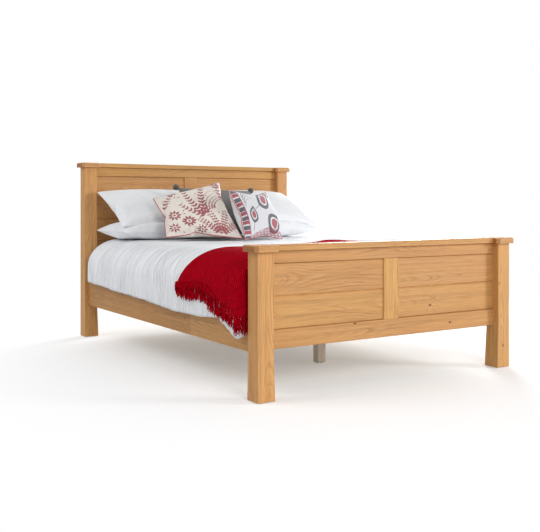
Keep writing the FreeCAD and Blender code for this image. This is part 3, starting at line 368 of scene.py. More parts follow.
def oiled_oak(name, grain, pith, taper, tone, shade=1.0, knots=(), joint=None):
    """Oiled oak with its grain along an axis and its pith line through a point. taper is how much
    the rings widen along the grain, tone goes from yellow to pink, shade is how light the piece
    is, each knot is (place, radius), and a joint is where two lengths meet end to end."""
    material = new_material(name)
    place = add(material, "TexCoord").outputs["Object"]
    log = log_place(material, place, grain, pith)
    radius, core = knotted(material, place, grain, ring_radius(material, log, taper), knots)
    early = early_wood(material, log, radius)

    fibre = patches(material, log, 1 / FIBRE_PITCH, 1 / (FIBRE_PITCH * FIBRE_STRETCH), 3.0)
    pores = patches(material, log, 1 / PORE_PITCH, 1 / (PORE_PITCH * PORE_STRETCH), 1.0)
    pores = add(material, "ValToRGB", inputs=[pores], stops=[(0.60, 0.0), (0.72, 1.0)])
    porous = add(material, "Math", {"operation": "MULTIPLY_ADD"}, [early, 0.8, 0.2])
    pores = add(material, "Math", {"operation": "MULTIPLY"}, [pores, porous])
    blotch = patches(material, log, 3.2, 0.9)

    base = add(material, "Mix", BLEND, {0: tone, MIX_A: colour(OAK_YELLOW), MIX_B: colour(OAK_PINK)})
    pale = add(material, "ValToRGB", inputs=[blotch], stops=[(0.32, 0.0), (0.68, 0.55)])
    base = add(material, "Mix", BLEND, {0: pale, MIX_A: base, MIX_B: colour(OAK_PALE)})
    dark = add(material, "Math", {"operation": "MULTIPLY"}, [early, 0.55])
    wood = add(material, "Mix", BLEND, {0: dark, MIX_A: base, MIX_B: colour(OAK_EARLY)})
    lines = add(material, "ValToRGB", inputs=[fibre], stops=[(0.30, 0.82), (0.55, 1.0), (0.75, 1.06)])
    wood = add(material, "Mix", TINT, {0: 1.0, MIX_A: wood, MIX_B: lines})
    streaks = patches(material, log, 70.0, 1.3)
    streaks = add(material, "ValToRGB", inputs=[streaks], stops=[(0.36, 0.90), (0.62, 1.05)])
    wood = add(material, "Mix", TINT, {0: 1.0, MIX_A: wood, MIX_B: streaks})
    specks = add(material, "Math", {"operation": "MULTIPLY"}, [pores, 0.45])
    wood = add(material, "Mix", BLEND, {0: specks, MIX_A: wood, MIX_B: colour(OAK_PORE)})
    if core is not None:
        core = add(material, "Math", {"operation": "MULTIPLY"}, [core, 0.85])
        wood = add(material, "Mix", BLEND, {0: core, MIX_A: wood, MIX_B: colour(OAK_KNOT)})
    wood = end_grain(material, grain, wood)
    if joint is not None:
        wood = butt_joint(material, place, grain, wood, joint)
    # The shade multiplies the colour. On most pieces it is a random tone. On a few pieces in the list of logs
    # below it is painted light or painted shade.
    wood = add(material, "Mix", TINT, {0: 1.0, MIX_A: wood, MIX_B: (shade, shade, shade, 1.0)})

    rough = add(material, "MapRange", inputs=[fibre, 0.3, 0.7, 0.60, 0.46])
    pits = add(material, "Math", {"operation": "MULTIPLY"}, [pores, 0.8])
    relief = add(material, "Math", {"operation": "SUBTRACT"}, [fibre, pits])
    bump = add(material, "Bump", inputs={"Strength": 0.35, "Distance": 0.0006, "Height": relief})
    shader = add(material, "BsdfPrincipled", inputs={
        "Base Color": wood, "Roughness": rough, "IOR": 1.5, "Specular IOR Level": 0.25, "Normal": bump})
    return finish_surface(material, shader)


def dress(node, material):
    """Give a piece of the frame its finish."""
    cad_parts[node].material_slots[0].material = material


# %% [markdown]
# A joiner picks the boards. Posts are cut so that the front shows arches, rails and boards are
# flat-sawn with the pith well behind the face, and the boards of one panel differ a little in
# tone. Random numbers from a fixed seed pick each piece's log, and the pieces that show most are
# then given one by one.
# Among them, the left foot post is set lighter as painted light, and two boards at the footboard's right end
# are set darker as painted shade.

# %% Choose the oak for each piece
OAK_SEED = 11
OAK_PIECES = ("headboard_", "footboard_", "side_rail_")
oak_draw = random.Random(OAK_SEED)
SET_BY_HAND = {
    # The left foot post's shade of 1.05 is painted light, for the brighter light on that post.
    "footboard_post_left": {"depth": 0.062, "aside": 0.014, "taper": 0.030, "tone": 0.6, "shade": 1.05},
    "footboard_post_right": {"depth": 0.045, "aside": -0.010, "taper": 0.05, "tone": 0.35,
                             "knots": [((0.668, -1.050, 0.423), 0.005), ((0.694, -1.050, 0.112), 0.006)]},
    # The shades of 0.94 and 0.95 on the two right footboard boards are painted shade, for the dimmer light
    # and the right post's shadow at that end.
    "footboard_board_right_1": {"depth": 0.040, "aside": -0.030, "taper": 0.03, "tone": 0.7, "shade": 0.94,
                                "knots": [((0.173, -1.009, 0.427), 0.006)]},
    "footboard_board_right_2": {"depth": 0.034, "aside": 0.0, "taper": 0.04, "tone": 0.5, "shade": 0.95,
                                "knots": [((0.242, -1.009, 0.337), 0.007)]},
    "footboard_bottom_rail": {"depth": 0.036, "aside": 0.0, "taper": 0.03, "tone": 0.7,
                              "knots": [((-0.212, -1.015, 0.285), 0.006), ((0.366, -1.015, 0.247), 0.007)]},
    "footboard_muntin": {"depth": 0.070, "aside": 0.030, "taper": 0.02, "tone": 0.05, "shade": 1.05},
    "side_rail_left": {"depth": 0.050, "aside": 0.0, "taper": 0.03, "tone": 0.45, "joint": -0.398,
                       "knots": [((-0.717, -0.341, 0.269), 0.005)]},
    "headboard_board_left_2": {"depth": 0.034, "aside": 0.0, "taper": 0.05},
}


def choose_oak(node, grain, depth, aside, **settings):
    """Dress a piece with its own log: the pith lies at a depth behind its front face and aside."""
    low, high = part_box(node)
    middle = (low + high) / 2
    if grain == "Z":
        pith = (middle.x + aside, low.y + depth, middle.z)
    elif grain == "X":
        pith = (middle.x, low.y + depth, middle.z + aside)
    else:
        outward = -1 if middle.x < 0 else 1
        pith = (middle.x - outward * depth, middle.y, middle.z + aside)
    dress(node, oiled_oak("oiled_oak_" + node, grain, pith, **settings))


def grain_of(node):
    """The axis along which a piece's grain runs: upright in posts and muntins, else lengthways."""
    if "muntin" in node or ("_post_" in node and "cap" not in node):
        return "Z"
    return "Y" if "side_rail" in node else "X"


oak_nodes = sorted(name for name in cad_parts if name.startswith(OAK_PIECES))
for node in oak_nodes:
    log = {"depth": oak_draw.uniform(0.04, 0.11),
           "aside": oak_draw.uniform(-0.05, 0.05),
           "taper": oak_draw.choice((-1, 1)) * oak_draw.uniform(0.008, 0.040),
           "tone": oak_draw.uniform(0.1, 0.9),
           "shade": oak_draw.uniform(0.92, 1.03)}
    log.update(SET_BY_HAND.get(node, {}))
    choose_oak(node, grain_of(node), **log)
print("oak pieces dressed:", len(oak_nodes))

# %% [markdown]
# ## The hidden base
#
# Under the bedding a slatted base of planed pine stands on the rails, held with pressed steel
# brackets and zinc-plated screws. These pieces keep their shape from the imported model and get
# plain working finishes: pine with wide soft rings, steel with a pressed satin skin, zinc with a
# faint speckle, beech for the dowels and moulded nylon for the glides.


# %% Pine, beech, steel, zinc and nylon
def plain_wood(name, pale, dark, pitch, grain, rough):
    """Planed wood with soft stripes along its grain."""
    material = new_material(name)
    place = add(material, "TexCoord").outputs["Object"]
    along = add(material, "Mapping", inputs={"Vector": place, "Rotation": grain_turn(grain),
                                             "Scale": (1 / pitch, 1 / pitch, 0.06 / pitch)})
    stripes = add(material, "TexNoise", inputs={"Vector": along, "Scale": 1.0, "Detail": 3.0})
    fine = add(material, "TexNoise", inputs={"Vector": along, "Scale": 9.0, "Detail": 2.0})
    stripes = add(material, "ValToRGB", inputs=[stripes], stops=[(0.4, 0.0), (0.62, 1.0)])
    wood = add(material, "Mix", BLEND, {0: stripes, MIX_A: colour(pale), MIX_B: colour(dark)})
    lines = add(material, "ValToRGB", inputs=[fine], stops=[(0.3, 0.85), (0.6, 1.0)])
    wood = add(material, "Mix", TINT, {0: 1.0, MIX_A: wood, MIX_B: lines})
    bump = add(material, "Bump", inputs={"Strength": 0.3, "Distance": 0.0004, "Height": fine})
    shader = add(material, "BsdfPrincipled", inputs={
        "Base Color": wood, "Roughness": rough, "Normal": bump})
    return finish_surface(material, shader)


def coated_metal(name, base, shade, speckle, rough, metallic):
    """Metal or moulded plastic with a fine speckle in its skin."""
    material = new_material(name)
    place = add(material, "TexCoord").outputs["Object"]
    grains = add(material, "TexNoise", inputs={"Vector": place, "Scale": 1 / speckle, "Detail": 3.0})
    speckled = add(material, "ValToRGB", inputs=[grains], stops=[(0.35, 0.0), (0.65, 1.0)])
    skin = add(material, "Mix", BLEND, {0: speckled, MIX_A: colour(base), MIX_B: colour(shade)})
    uneven = add(material, "MapRange", inputs={0: grains, 3: rough - 0.08, 4: rough + 0.08})
    bump = add(material, "Bump", inputs={"Strength": 0.15, "Distance": 0.0002, "Height": grains})
    shader = add(material, "BsdfPrincipled", inputs={
        "Base Color": skin, "Roughness": uneven, "Metallic": metallic, "Normal": bump})
    return finish_surface(material, shader)


pine_across = plain_wood("planed_pine_across", "#E6CFA4", "#D3AE76", 0.012, "X", 0.62)
pine_along = plain_wood("planed_pine_along", "#E6CFA4", "#D3AE76", 0.012, "Y", 0.62)
# The centre legs' pine is drawn almost white: painted light that lifts them out of the shade under the bed.
pine_upright_painted_light = plain_wood("planed_pine_upright", "#FBF5EA", "#F0E3CC", 0.012, "Z", 0.62)
beech = plain_wood("beech_dowel", "#D9B48C", "#C99C6E", 0.004, "Z", 0.55)
pressed_steel = coated_metal("pressed_steel", "#8C8F92", "#6F7376", 0.004, 0.38, 1.0)
zinc = coated_metal("zinc_plated_steel", "#C9CBC8", "#A9ADAE", 0.002, 0.30, 1.0)
nylon = coated_metal("nylon_glide", "#3A3734", "#2E2C2A", 0.003, 0.50, 0.0)

BASE_FINISHES = [
    (pine_across, ("slats",)),
    (pine_along, ("slat_ledger_left", "slat_ledger_right", "centre_rail")),
    (pine_upright_painted_light, ("centre_leg_foot", "centre_leg_head")),
    (pressed_steel, ("centre_rail_saddles", "corner_brackets")),
    (zinc, ("corner_bolts", "threaded_inserts", "bracket_screws", "saddle_screws", "ledger_screws",
            "slat_screws", "leg_screws")),
    (beech, ("cap_dowels",)),
    (nylon, ("floor_glides",)),
]
for finish, nodes in BASE_FINISHES:
    for node in nodes:
        dress(node, finish)
print("base pieces dressed:", sum(len(nodes) for finish, nodes in BASE_FINISHES))

# %% [markdown]
# ## Making soft pieces
#
# Every soft piece is a mesh made with bmesh and then handed over to the body that it rides on.
# Gentle unevenness comes from one smooth noise function, sampled with the cloth's own measures in
# metres, so that a fold of 17 mm stays 17 mm wherever it lies.


# %% Helpers for soft pieces
def new_piece(name, bm, body, material):
    """A finished mesh as a piece of the bed. It rides on a body and takes a slot's finish."""
    mesh = bpy.data.meshes.new(name)
    bm.to_mesh(mesh)
    bm.free()
    mesh.shade_smooth()
    mesh.materials.append(material)
    piece = bpy.data.objects.new(name, mesh)
    bpy.context.scene.collection.objects.link(piece)
    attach(piece, body)
    return piece


def ripples(first, second, third=0.0):
    """Smooth noise between about -1 and 1, at arrays of two coordinates and one more."""
    third = np.broadcast_to(third, first.shape)
    return np.array([noise.noise(place) for place in zip(first, second, third)])


def creases(first, second, third=0.0):
    """The same noise with its zero lines drawn out as sharp-crested ridges, between 0 and 1."""
    return (1 - np.abs(ripples(first, second, third))) ** 3


def smooth_step(value, start, end):
    """0 below start, 1 above end, and smooth between them."""
    share = np.clip((value - start) / (end - start), 0, 1)
    return share * share * (3 - 2 * share)


def verts_of(bm):
    """The mesh's points as an array of rows."""
    return np.array([vert.co for vert in bm.verts])


def move_verts(bm, places):
    """Put the mesh's points where an array says."""
    for vert, place in zip(bm.verts, places):
        vert.co = place


# %% [markdown]
# ## The lie of the bedding
#
# The duvet lies flat over the mattress, rounds over its long edges in a plump shoulder and hangs
# down outside the side rails. The throw lies on top of it, so both follow one path. The path is
# written down once, as the bed's half section: a flat, a quarter of an oval, and a straight drop.
# A point of cloth is then named by how far over the bed it lies from the middle, measured along
# the cloth, and by its place along the bed.

# %% The half section
BED_TOP = 0.6006
BED_END = 0.944
FLAT_HALF = 0.55
SIDE_REACH = 0.75
KNEE_HEIGHT = 0.445
DROP_END = 0.15
OVAL_STEPS = 49

turns = np.linspace(0, math.pi / 2, OVAL_STEPS)
shoulder_x = FLAT_HALF + (SIDE_REACH - FLAT_HALF) * np.sin(turns)
shoulder_z = KNEE_HEIGHT + (BED_TOP - KNEE_HEIGHT) * np.cos(turns)
section_x = np.concatenate([[0.0], shoulder_x, [SIDE_REACH]])
section_z = np.concatenate([[BED_TOP], shoulder_z, [DROP_END]])
steps = np.hypot(np.diff(section_x), np.diff(section_z))
section_length = np.concatenate([[0.0], np.cumsum(steps)])
lean_x = np.concatenate([[0.0], np.sin(turns) / (SIDE_REACH - FLAT_HALF), [1.0]])
lean_z = np.concatenate([[1.0], np.cos(turns) / (BED_TOP - KNEE_HEIGHT), [0.0]])
lean_size = np.hypot(lean_x, lean_z)
out_x = lean_x / lean_size
out_z = lean_z / lean_size
KNEE_REACH = section_length[-2]
print("from the middle of the bed to the end of the shoulder:", round(KNEE_REACH, 3), "m")


def over_bed(across, along, lift):
    """Where points of cloth lie. lift is how far they stand off the path."""
    reach = np.abs(across)
    x = np.interp(reach, section_length, section_x) + lift * np.interp(reach, section_length, out_x)
    z = np.interp(reach, section_length, section_z) + lift * np.interp(reach, section_length, out_z)
    return np.column_stack([np.sign(across) * x, along, z])


def reach_to(height):
    """How far over the bed, along the cloth, a height on the straight drop lies."""
    return KNEE_REACH + KNEE_HEIGHT - height


# %% [markdown]
# The hem isn't level. Towards the foot it dips, rises where the throw's weight pulls the duvet in,
# and ends in a corner that hangs lowest. The drops below are read at shares of the bed's half
# length. Large soft folds grow towards the hem, and at the foot the corners swing outward, where
# the bedding is pushed aside by the footboard's posts.

# %% Hem and folds
DUVET_HEM_DROPS = [(-1.02, 0.105), (-0.96, 0.104), (-0.90, 0.070), (-0.78, 0.026), (-0.60, 0.042),
                   (-0.30, 0.044), (0.05, 0.026), (0.40, 0.018), (0.70, 0.006), (0.88, 0.0),
                   (1.02, -0.002)]
HEM_AT_HEAD = 0.3446
FOLD_DEPTH = 0.008
FOLD_WIDTH = 0.16
FOLDS_FULL_AT = 0.36
CORNER_SWING = {-1: 0.012, 1: 0.045}
CORNER_SHARPNESS = 8
CORNER_DROP = 0.215


def hem_height(along):
    """The height of the duvet's hem."""
    shares, drops = zip(*DUVET_HEM_DROPS)
    return HEM_AT_HEAD - np.interp(along / BED_END, shares, drops)


def hang(across, along):
    """How far the duvet stands off the path: folds that deepen to the hem, and swinging corners."""
    side = np.sign(across)
    reach = np.abs(across)
    depth = smooth_step(reach, FLAT_HALF, reach_to(FOLDS_FULL_AT))
    folds = FOLD_DEPTH * depth * ripples(along / FOLD_WIDTH + 0.4 * reach, side * 4.7, 1.3)
    corner = ((1 - along / BED_END) / 2) ** CORNER_SHARPNESS
    swing = np.where(side > 0, CORNER_SWING[1], CORNER_SWING[-1])
    down = np.clip((reach - KNEE_REACH) / CORNER_DROP, 0, 1.3)
    return folds + swing * corner * down


print("duvet hem:", round(float(hem_height(0.9)), 3), "m high at the head,",
      round(float(hem_height(-0.93)), 3), "m at the foot")


# %% [markdown]
# ## The mattress
#
# Lift the duvet and there is a sprung mattress: a slab with round corners and edges, and rows of
# tufts that pull the cover in. A block is bevelled to that shape and cut into small faces, and the
# tufts are pressed into it by moving its points. The ticking's stripes are 22 mm apart, and its
# twill is drawn a little coarser than real thread.

# %% Mattress
MATTRESS_CORNER = 0.060
MATTRESS_EDGE = 0.022
MATTRESS_FACE = 0.030
WALL_CUTS = (0.325, 0.331, 0.337, 0.343, 0.380, 0.415, 0.450, 0.487, 0.493, 0.499, 0.505)
TUFT_PITCH = (0.27, 0.271)
TUFT_DEPTH = 0.012
TUFT_SPREAD = 0.035
STRIPE_PITCH = 0.022


def ticking():
    """Woven mattress ticking: narrow stripes in a twill."""
    material = new_material("mattress_ticking")
    place = add(material, "TexCoord").outputs["Object"]
    parts = add(material, "SeparateXYZ", inputs={0: place})
    phase = add(material, "Math", {"operation": "DIVIDE"}, [parts.outputs[0], STRIPE_PITCH])
    phase = add(material, "Math", {"operation": "FRACT"}, [phase])
    stripe = add(material, "ValToRGB", inputs=[phase],
                 stops=[(0.0, 0.0), (0.40, 0.0), (0.44, 1.0), (0.56, 1.0), (0.60, 0.0)])
    twill = add(material, "Mapping", inputs={"Vector": place, "Rotation": (0, 0, math.radians(58)),
                                             "Scale": (900, 220, 300)})
    threads = add(material, "TexNoise", inputs={"Vector": twill, "Scale": 1.0, "Detail": 1.0})
    cloth = add(material, "Mix", BLEND, {0: stripe, MIX_A: colour("#E4DFD3"), MIX_B: colour("#A7ADB4")})
    shading = add(material, "ValToRGB", inputs=[threads], stops=[(0.3, 0.85), (0.65, 1.0)])
    cloth = add(material, "Mix", TINT, {0: 1.0, MIX_A: cloth, MIX_B: shading})
    bump = add(material, "Bump", inputs={"Strength": 0.4, "Distance": 0.0005, "Height": threads})
    shader = add(material, "BsdfPrincipled", inputs={
        "Base Color": cloth, "Roughness": 0.85, "Normal": bump})
    return finish_surface(material, shader)


def cut_across(bm, axis, start, end, spacing):
    """Cut a mesh into slices across one axis."""
    count = max(1, round((end - start) / spacing))
    normal = Vector((0, 0, 0))
    normal[axis] = 1
    for index in range(1, count):
        place = Vector((0, 0, 0))
        place[axis] = start + (end - start) * index / count
        everything = bm.verts[:] + bm.edges[:] + bm.faces[:]
        bmesh.ops.bisect_plane(bm, geom=everything, plane_co=place, plane_no=normal)


mattress_low, mattress_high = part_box("mattress")
mattress_size = mattress_high - mattress_low
mattress_middle = (mattress_low + mattress_high) / 2
mattress_bm = bmesh.new()
bmesh.ops.create_cube(mattress_bm, size=1, matrix=Matrix.Translation(mattress_middle)
                      @ Matrix.Diagonal((*mattress_size, 1)))
upright = [edge for edge in mattress_bm.edges if abs(edge.verts[0].co.z - edge.verts[1].co.z) > 0.1]
bmesh.ops.bevel(mattress_bm, geom=upright, affect="EDGES", offset=MATTRESS_CORNER, segments=8,
                profile=0.5, material=-1)
rims = [edge for edge in mattress_bm.edges if abs(edge.verts[0].co.z - edge.verts[1].co.z) < 0.001]
bmesh.ops.bevel(mattress_bm, geom=rims, affect="EDGES", offset=MATTRESS_EDGE, segments=5,
                profile=0.5, material=-1)
cut_across(mattress_bm, 0, mattress_low.x, mattress_high.x, MATTRESS_FACE)
cut_across(mattress_bm, 1, mattress_low.y, mattress_high.y, MATTRESS_FACE)
for height in WALL_CUTS:
    cut_across(mattress_bm, 2, 2 * height - mattress_high.z, mattress_high.z, mattress_high.z - height)
spots = verts_of(mattress_bm)
tuft_x = np.abs((spots[:, 0] / TUFT_PITCH[0] + 0.5) % 1 - 0.5) * TUFT_PITCH[0]
tuft_y = np.abs((spots[:, 1] / TUFT_PITCH[1]) % 1 - 0.5) * TUFT_PITCH[1]
dimple = np.exp(-np.hypot(tuft_x, tuft_y) / TUFT_SPREAD)
level = np.abs(spots[:, 2] - mattress_middle.z) > 0.45 * mattress_size.z
spots[:, 2] -= np.where(level, np.sign(spots[:, 2] - mattress_middle.z) * TUFT_DEPTH * dimple, 0)
move_verts(mattress_bm, spots)
mattress = new_piece("mattress_cover", mattress_bm, "mattress", ticking())
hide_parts("mattress")
print("mattress faces:", len(mattress.data.polygons))

# %% [markdown]
# ## White cotton
#
# Duvet cover and pillowcases are washed cotton percale. Close up it has a fine even weave and soft
# slubs, and it is never quite flat. Percale has about four threads to a millimetre, too fine to
# show, so the weave is drawn as slubs 1 mm by 4 mm in the bump. A little sheen gives the cloth its
# soft edge against the light.


# %% White cotton
def cotton(name, base, shade, crinkle_size=0.012, relief=0.0012, ridge_pitch=0.0):
    """Washed cotton with a fine weave and small crinkles. A ridge pitch adds ridges across Y."""
    material = new_material(name)
    place = add(material, "TexCoord").outputs["Object"]
    slubs = add(material, "Mapping", inputs={"Vector": place, "Scale": (260, 900, 260)})
    slubs = add(material, "TexNoise", inputs={"Vector": slubs, "Scale": 1.0, "Detail": 2.0})
    small = add(material, "TexNoise", inputs={"Vector": place, "Scale": 1 / crinkle_size,
                                              "Detail": 4.0, "Roughness": 0.55})
    tone = add(material, "ValToRGB", inputs=[small], stops=[(0.35, 0.0), (0.65, 1.0)])
    cloth = add(material, "Mix", BLEND, {0: tone, MIX_A: colour(base), MIX_B: colour(shade)})
    crumple = add(material, "Bump", inputs={"Strength": 0.5, "Distance": relief, "Height": small})
    if ridge_pitch:
        wander = add(material, "TexNoise", inputs={"Vector": place, "Scale": 3.5, "Detail": 1.0}).outputs[1]
        bent = add(material, "VectorMath", {"operation": "MULTIPLY_ADD"},
                   {0: wander, 1: (0.0, 0.10, 0.0), 2: place})
        across = add(material, "Mapping", inputs={
            "Vector": bent, "Scale": (3.0, 1 / ridge_pitch, 3.0)})
        ridges = add(material, "TexNoise", inputs={"Vector": across, "Scale": 1.0, "Detail": 2.5})
        crests = add(material, "Math", {"operation": "SUBTRACT"}, [ridges, 0.5])
        crests = add(material, "Math", {"operation": "ABSOLUTE"}, [crests])
        crests = add(material, "ValToRGB", inputs=[crests],
                     stops=[(0.0, 1.0), (0.09, 0.35), (0.22, 0.0)])
        crumple = add(material, "Bump", inputs={"Strength": 1.0, "Distance": 0.0070, "Height": crests,
                                                "Normal": crumple})
    weave = add(material, "Bump", inputs={"Strength": 0.3, "Distance": 0.0003, "Height": slubs,
                                          "Normal": crumple})
    shader = add(material, "BsdfPrincipled", inputs={
        "Base Color": cloth, "Roughness": 0.88, "Sheen Weight": 0.15, "Sheen Roughness": 0.5,
        "Normal": weave})
    return finish_surface(material, shader)


white_cotton = cotton("white_cotton", "#F2F4F7", "#ECEEF2", ridge_pitch=0.036)
print("white cotton has", len(white_cotton.node_tree.nodes), "nodes")

# %% [markdown]
# ## The duvet
#
# A duvet is two skins of cotton sewn together round a filling. Its outer skin is one grid, laid
# over the path, with folds and the fine crinkles that washed cotton keeps: ridges a finger apart
# that run down the drop. Solidify makes the inner skin. A vertex group tells it how full the duvet
# is, and lets the two skins meet at the hem and at both ends, as they do at a seam. Its foot end
# stops a little short, so that the throw can turn down over it.

# %% Duvet, its outer skin
DUVET_ROWS = 320
DUVET_COLUMNS = 150
DUVET_FULL = 0.060
DUVET_FOOT = 0.938
END_ROUNDING = 0.085
END_RISE = 0.045
END_DIP = 0.050
# Each kind of crinkle: how far apart its ridges are, how long they run and how high they stand
FINE_CRINKLE = (0.026, 0.20, 0.0050)
FINER_CRINKLE = (0.014, 0.11, 0.0022)
BROAD_CRINKLE = (0.060, 0.34, 0.0075)


def crinkle(across, along):
    """The crinkles of the washed cotton: fine ridges, and broader ones under them."""
    reach = np.abs(across)
    wander = 0.022 * ripples(across * 3.1, along * 2.4, 7.0)
    line = along - 0.10 * reach + wander
    fine = creases(line / FINE_CRINKLE[0], across / FINE_CRINKLE[1], 2.0)
    finer = creases(line / FINER_CRINKLE[0], across / FINER_CRINKLE[1], 5.0)
    broad = ripples(line / BROAD_CRINKLE[0], across / BROAD_CRINKLE[1], 9.0)
    strength = 0.55 + 0.45 * ripples(across * 2.6, along * 2.9, 3.0)
    drape = 0.45 + 0.55 * smooth_step(reach, FLAT_HALF - 0.1, KNEE_REACH)
    ridges = strength * (FINE_CRINKLE[2] * fine + FINER_CRINKLE[2] * finer)
    return drape * (ridges + BROAD_CRINKLE[2] * broad)


def end_share(along):
    """How far into the rounding at the duvet's ends a point lies: 0 before it, 1 at the end."""
    return np.clip((np.abs(along) - (BED_END - END_ROUNDING)) / END_ROUNDING, 0, 1)


duvet_bm = bmesh.new()
bmesh.ops.create_grid(duvet_bm, x_segments=DUVET_COLUMNS, y_segments=DUVET_ROWS, size=1)
flat_cloth = verts_of(duvet_bm)
along = flat_cloth[:, 1] * np.where(flat_cloth[:, 1] < 0, DUVET_FOOT, BED_END)
corner_rise = END_RISE * (1 - np.sqrt(1 - end_share(along) ** 2))
across = flat_cloth[:, 0] * reach_to(hem_height(along) + corner_rise)
dip = END_DIP * (1 - np.sqrt(1 - end_share(along) ** 2 * 0.98))
lift = hang(across, along) + crinkle(across, along) * (1 - 0.6 * end_share(along)) - dip
move_verts(duvet_bm, over_bed(across, along, lift))

# %% [markdown]
# How full it is: 60 mm on top, half of that round the mattress's edge, 22 mm on the drop, and
# almost nothing at the sewn rim.

# %% Duvet, its filling
FULL_AT_REACH = [(0.0, 1.0), (0.46, 1.0), (0.62, 0.55), (KNEE_REACH, 0.36), (2.0, 0.36)]
RIM_WIDTH = 0.045
reach = np.abs(across)
full = np.interp(reach, *zip(*FULL_AT_REACH))
to_hem = reach_to(hem_height(along)) - reach
to_end = BED_END - np.abs(along)
rim = np.clip(np.minimum(to_hem, to_end) / RIM_WIDTH, 0, 1)
full = full * (0.10 + 0.90 * np.sqrt(rim))
duvet = new_piece("duvet_cover", duvet_bm, "duvet", white_cotton)
group = duvet.vertex_groups.new(name="fullness")
for index, weight in enumerate(full):
    group.add([index], float(weight), "REPLACE")
solidify = duvet.modifiers.new("two_skins", "SOLIDIFY")
solidify.thickness = DUVET_FULL
solidify.offset = -1
solidify.vertex_group = "fullness"
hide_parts("duvet")
print("duvet points:", len(duvet.data.vertices))

# %% [markdown]
# ## The throw
#
# The throw is a rib-knitted blanket of thick red yarn. It lies across the foot of the bed, on top
# of the duvet, and hangs down on both sides, where a fringe is knotted into its ends. Its edge
# towards the headboard runs askew, and one pair of numbers after another gives that edge, from the
# left hem over the bed to the right one. Its foot end turns down round the end of the duvet. At the
# left foot corner it is folded under once more, so that a second layer hangs below the first.

# %% Throw, where it lies
THROW_FOOT = -0.934
THROW_UPPER = {-1: -0.339, 1: -0.349}
THROW_UPPER_EDGE = [(-0.93, -0.335), (-0.858, -0.340), (-0.79, -0.392), (-0.737, -0.421), (-0.679, -0.448),
                    (-0.622, -0.474), (-0.565, -0.497), (-0.50, -0.508), (-0.20, -0.440), (0.00, -0.370),
                    (0.12, -0.330), (0.22, -0.332), (0.36, -0.375), (0.60, -0.380), (0.93, -0.340)]
# The share of its rows that turns down at the foot, how far it comes forward and how far it turns in
WRAP_SHARE = 0.12
WRAP_AHEAD = 0.011
WRAP_INWARD = 0.105
THROW_HEM = 0.4446
THROW_HEM_DROPS = [(-1.02, 0.100), (-0.985, 0.100), (-0.95, 0.072), (-0.91, 0.058), (-0.83, 0.056),
                   (-0.78, 0.020), (-0.72, -0.008), (-0.60, -0.014), (-0.45, -0.004), (-0.36, 0.004),
                   (-0.15, 0.004)]
THROW_LIFT = 0.0100
THROW_THICKNESS = 0.0055
THROW_ROWS = 100
THROW_COLUMNS = 240
FOLD_START = 0.49
SOFT_FOLDS = 0.0030
RUCK_HEIGHT = 0.012
RUCK_PLACE = (0.16, -0.31)
RUCK_SPREAD = (0.16, 0.05)
DRAPE_CLEARANCE = 0.0042
DOUBLED = 0.011


def throw_hem_height(along):
    """The height at which the knitted panel ends and the fringe starts."""
    shares, drops = zip(*THROW_HEM_DROPS)
    return THROW_HEM - np.interp(along / BED_END, shares, drops)


def throw_lift(across, along):
    """How far the throw stands off the path: on the duvet's folds, with its own soft ones."""
    reach = np.abs(across)
    drape = smooth_step(reach, FLAT_HALF, KNEE_REACH)
    slanted = along - 0.55 * reach
    soft = SOFT_FOLDS * ripples(slanted / 0.075, across / 0.5, 11.0) * (0.5 + 0.8 * drape)
    ruck = RUCK_HEIGHT * np.exp(-((across - RUCK_PLACE[0]) / RUCK_SPREAD[0]) ** 2
                                - ((along - RUCK_PLACE[1]) / RUCK_SPREAD[1]) ** 2)
    doubled = fold_share(across, along) * DOUBLED
    return hang(across, along) + THROW_LIFT + DRAPE_CLEARANCE * drape + soft + ruck + doubled


def fold_share(across, along):
    """1 where the second layer lies over the first, at the left foot corner."""
    below = np.abs(across) - reach_to(FOLD_START)
    edge = THROW_FOOT + 0.012 + np.clip(below, 0, None) * 0.75
    return smooth_step(edge - along, -0.006, 0.002) * (across < 0) * smooth_step(below, -0.06, 0.0)


print("the throw's hem is", round(float(throw_hem_height(0.0)), 3), "m above the floor at its middle")

# %% [markdown]
# The knit's ribs are 10 mm apart and run slantwise down the drop, because the throw was tossed on.
# Each rib is a column of V-shaped stitches, 6 mm apart. Both are too small to model as points, so
# the material draws them as bump: a wave across the ribs, and slanted stitches on either side of
# each rib's middle. The measures come from the cloth itself, kept as a UV map in metres.

# %% Knitted wool
RIB_PITCH = 0.0100
STITCH_PITCH = 0.0058
RIB_SLANT = (0.8, 0.6)


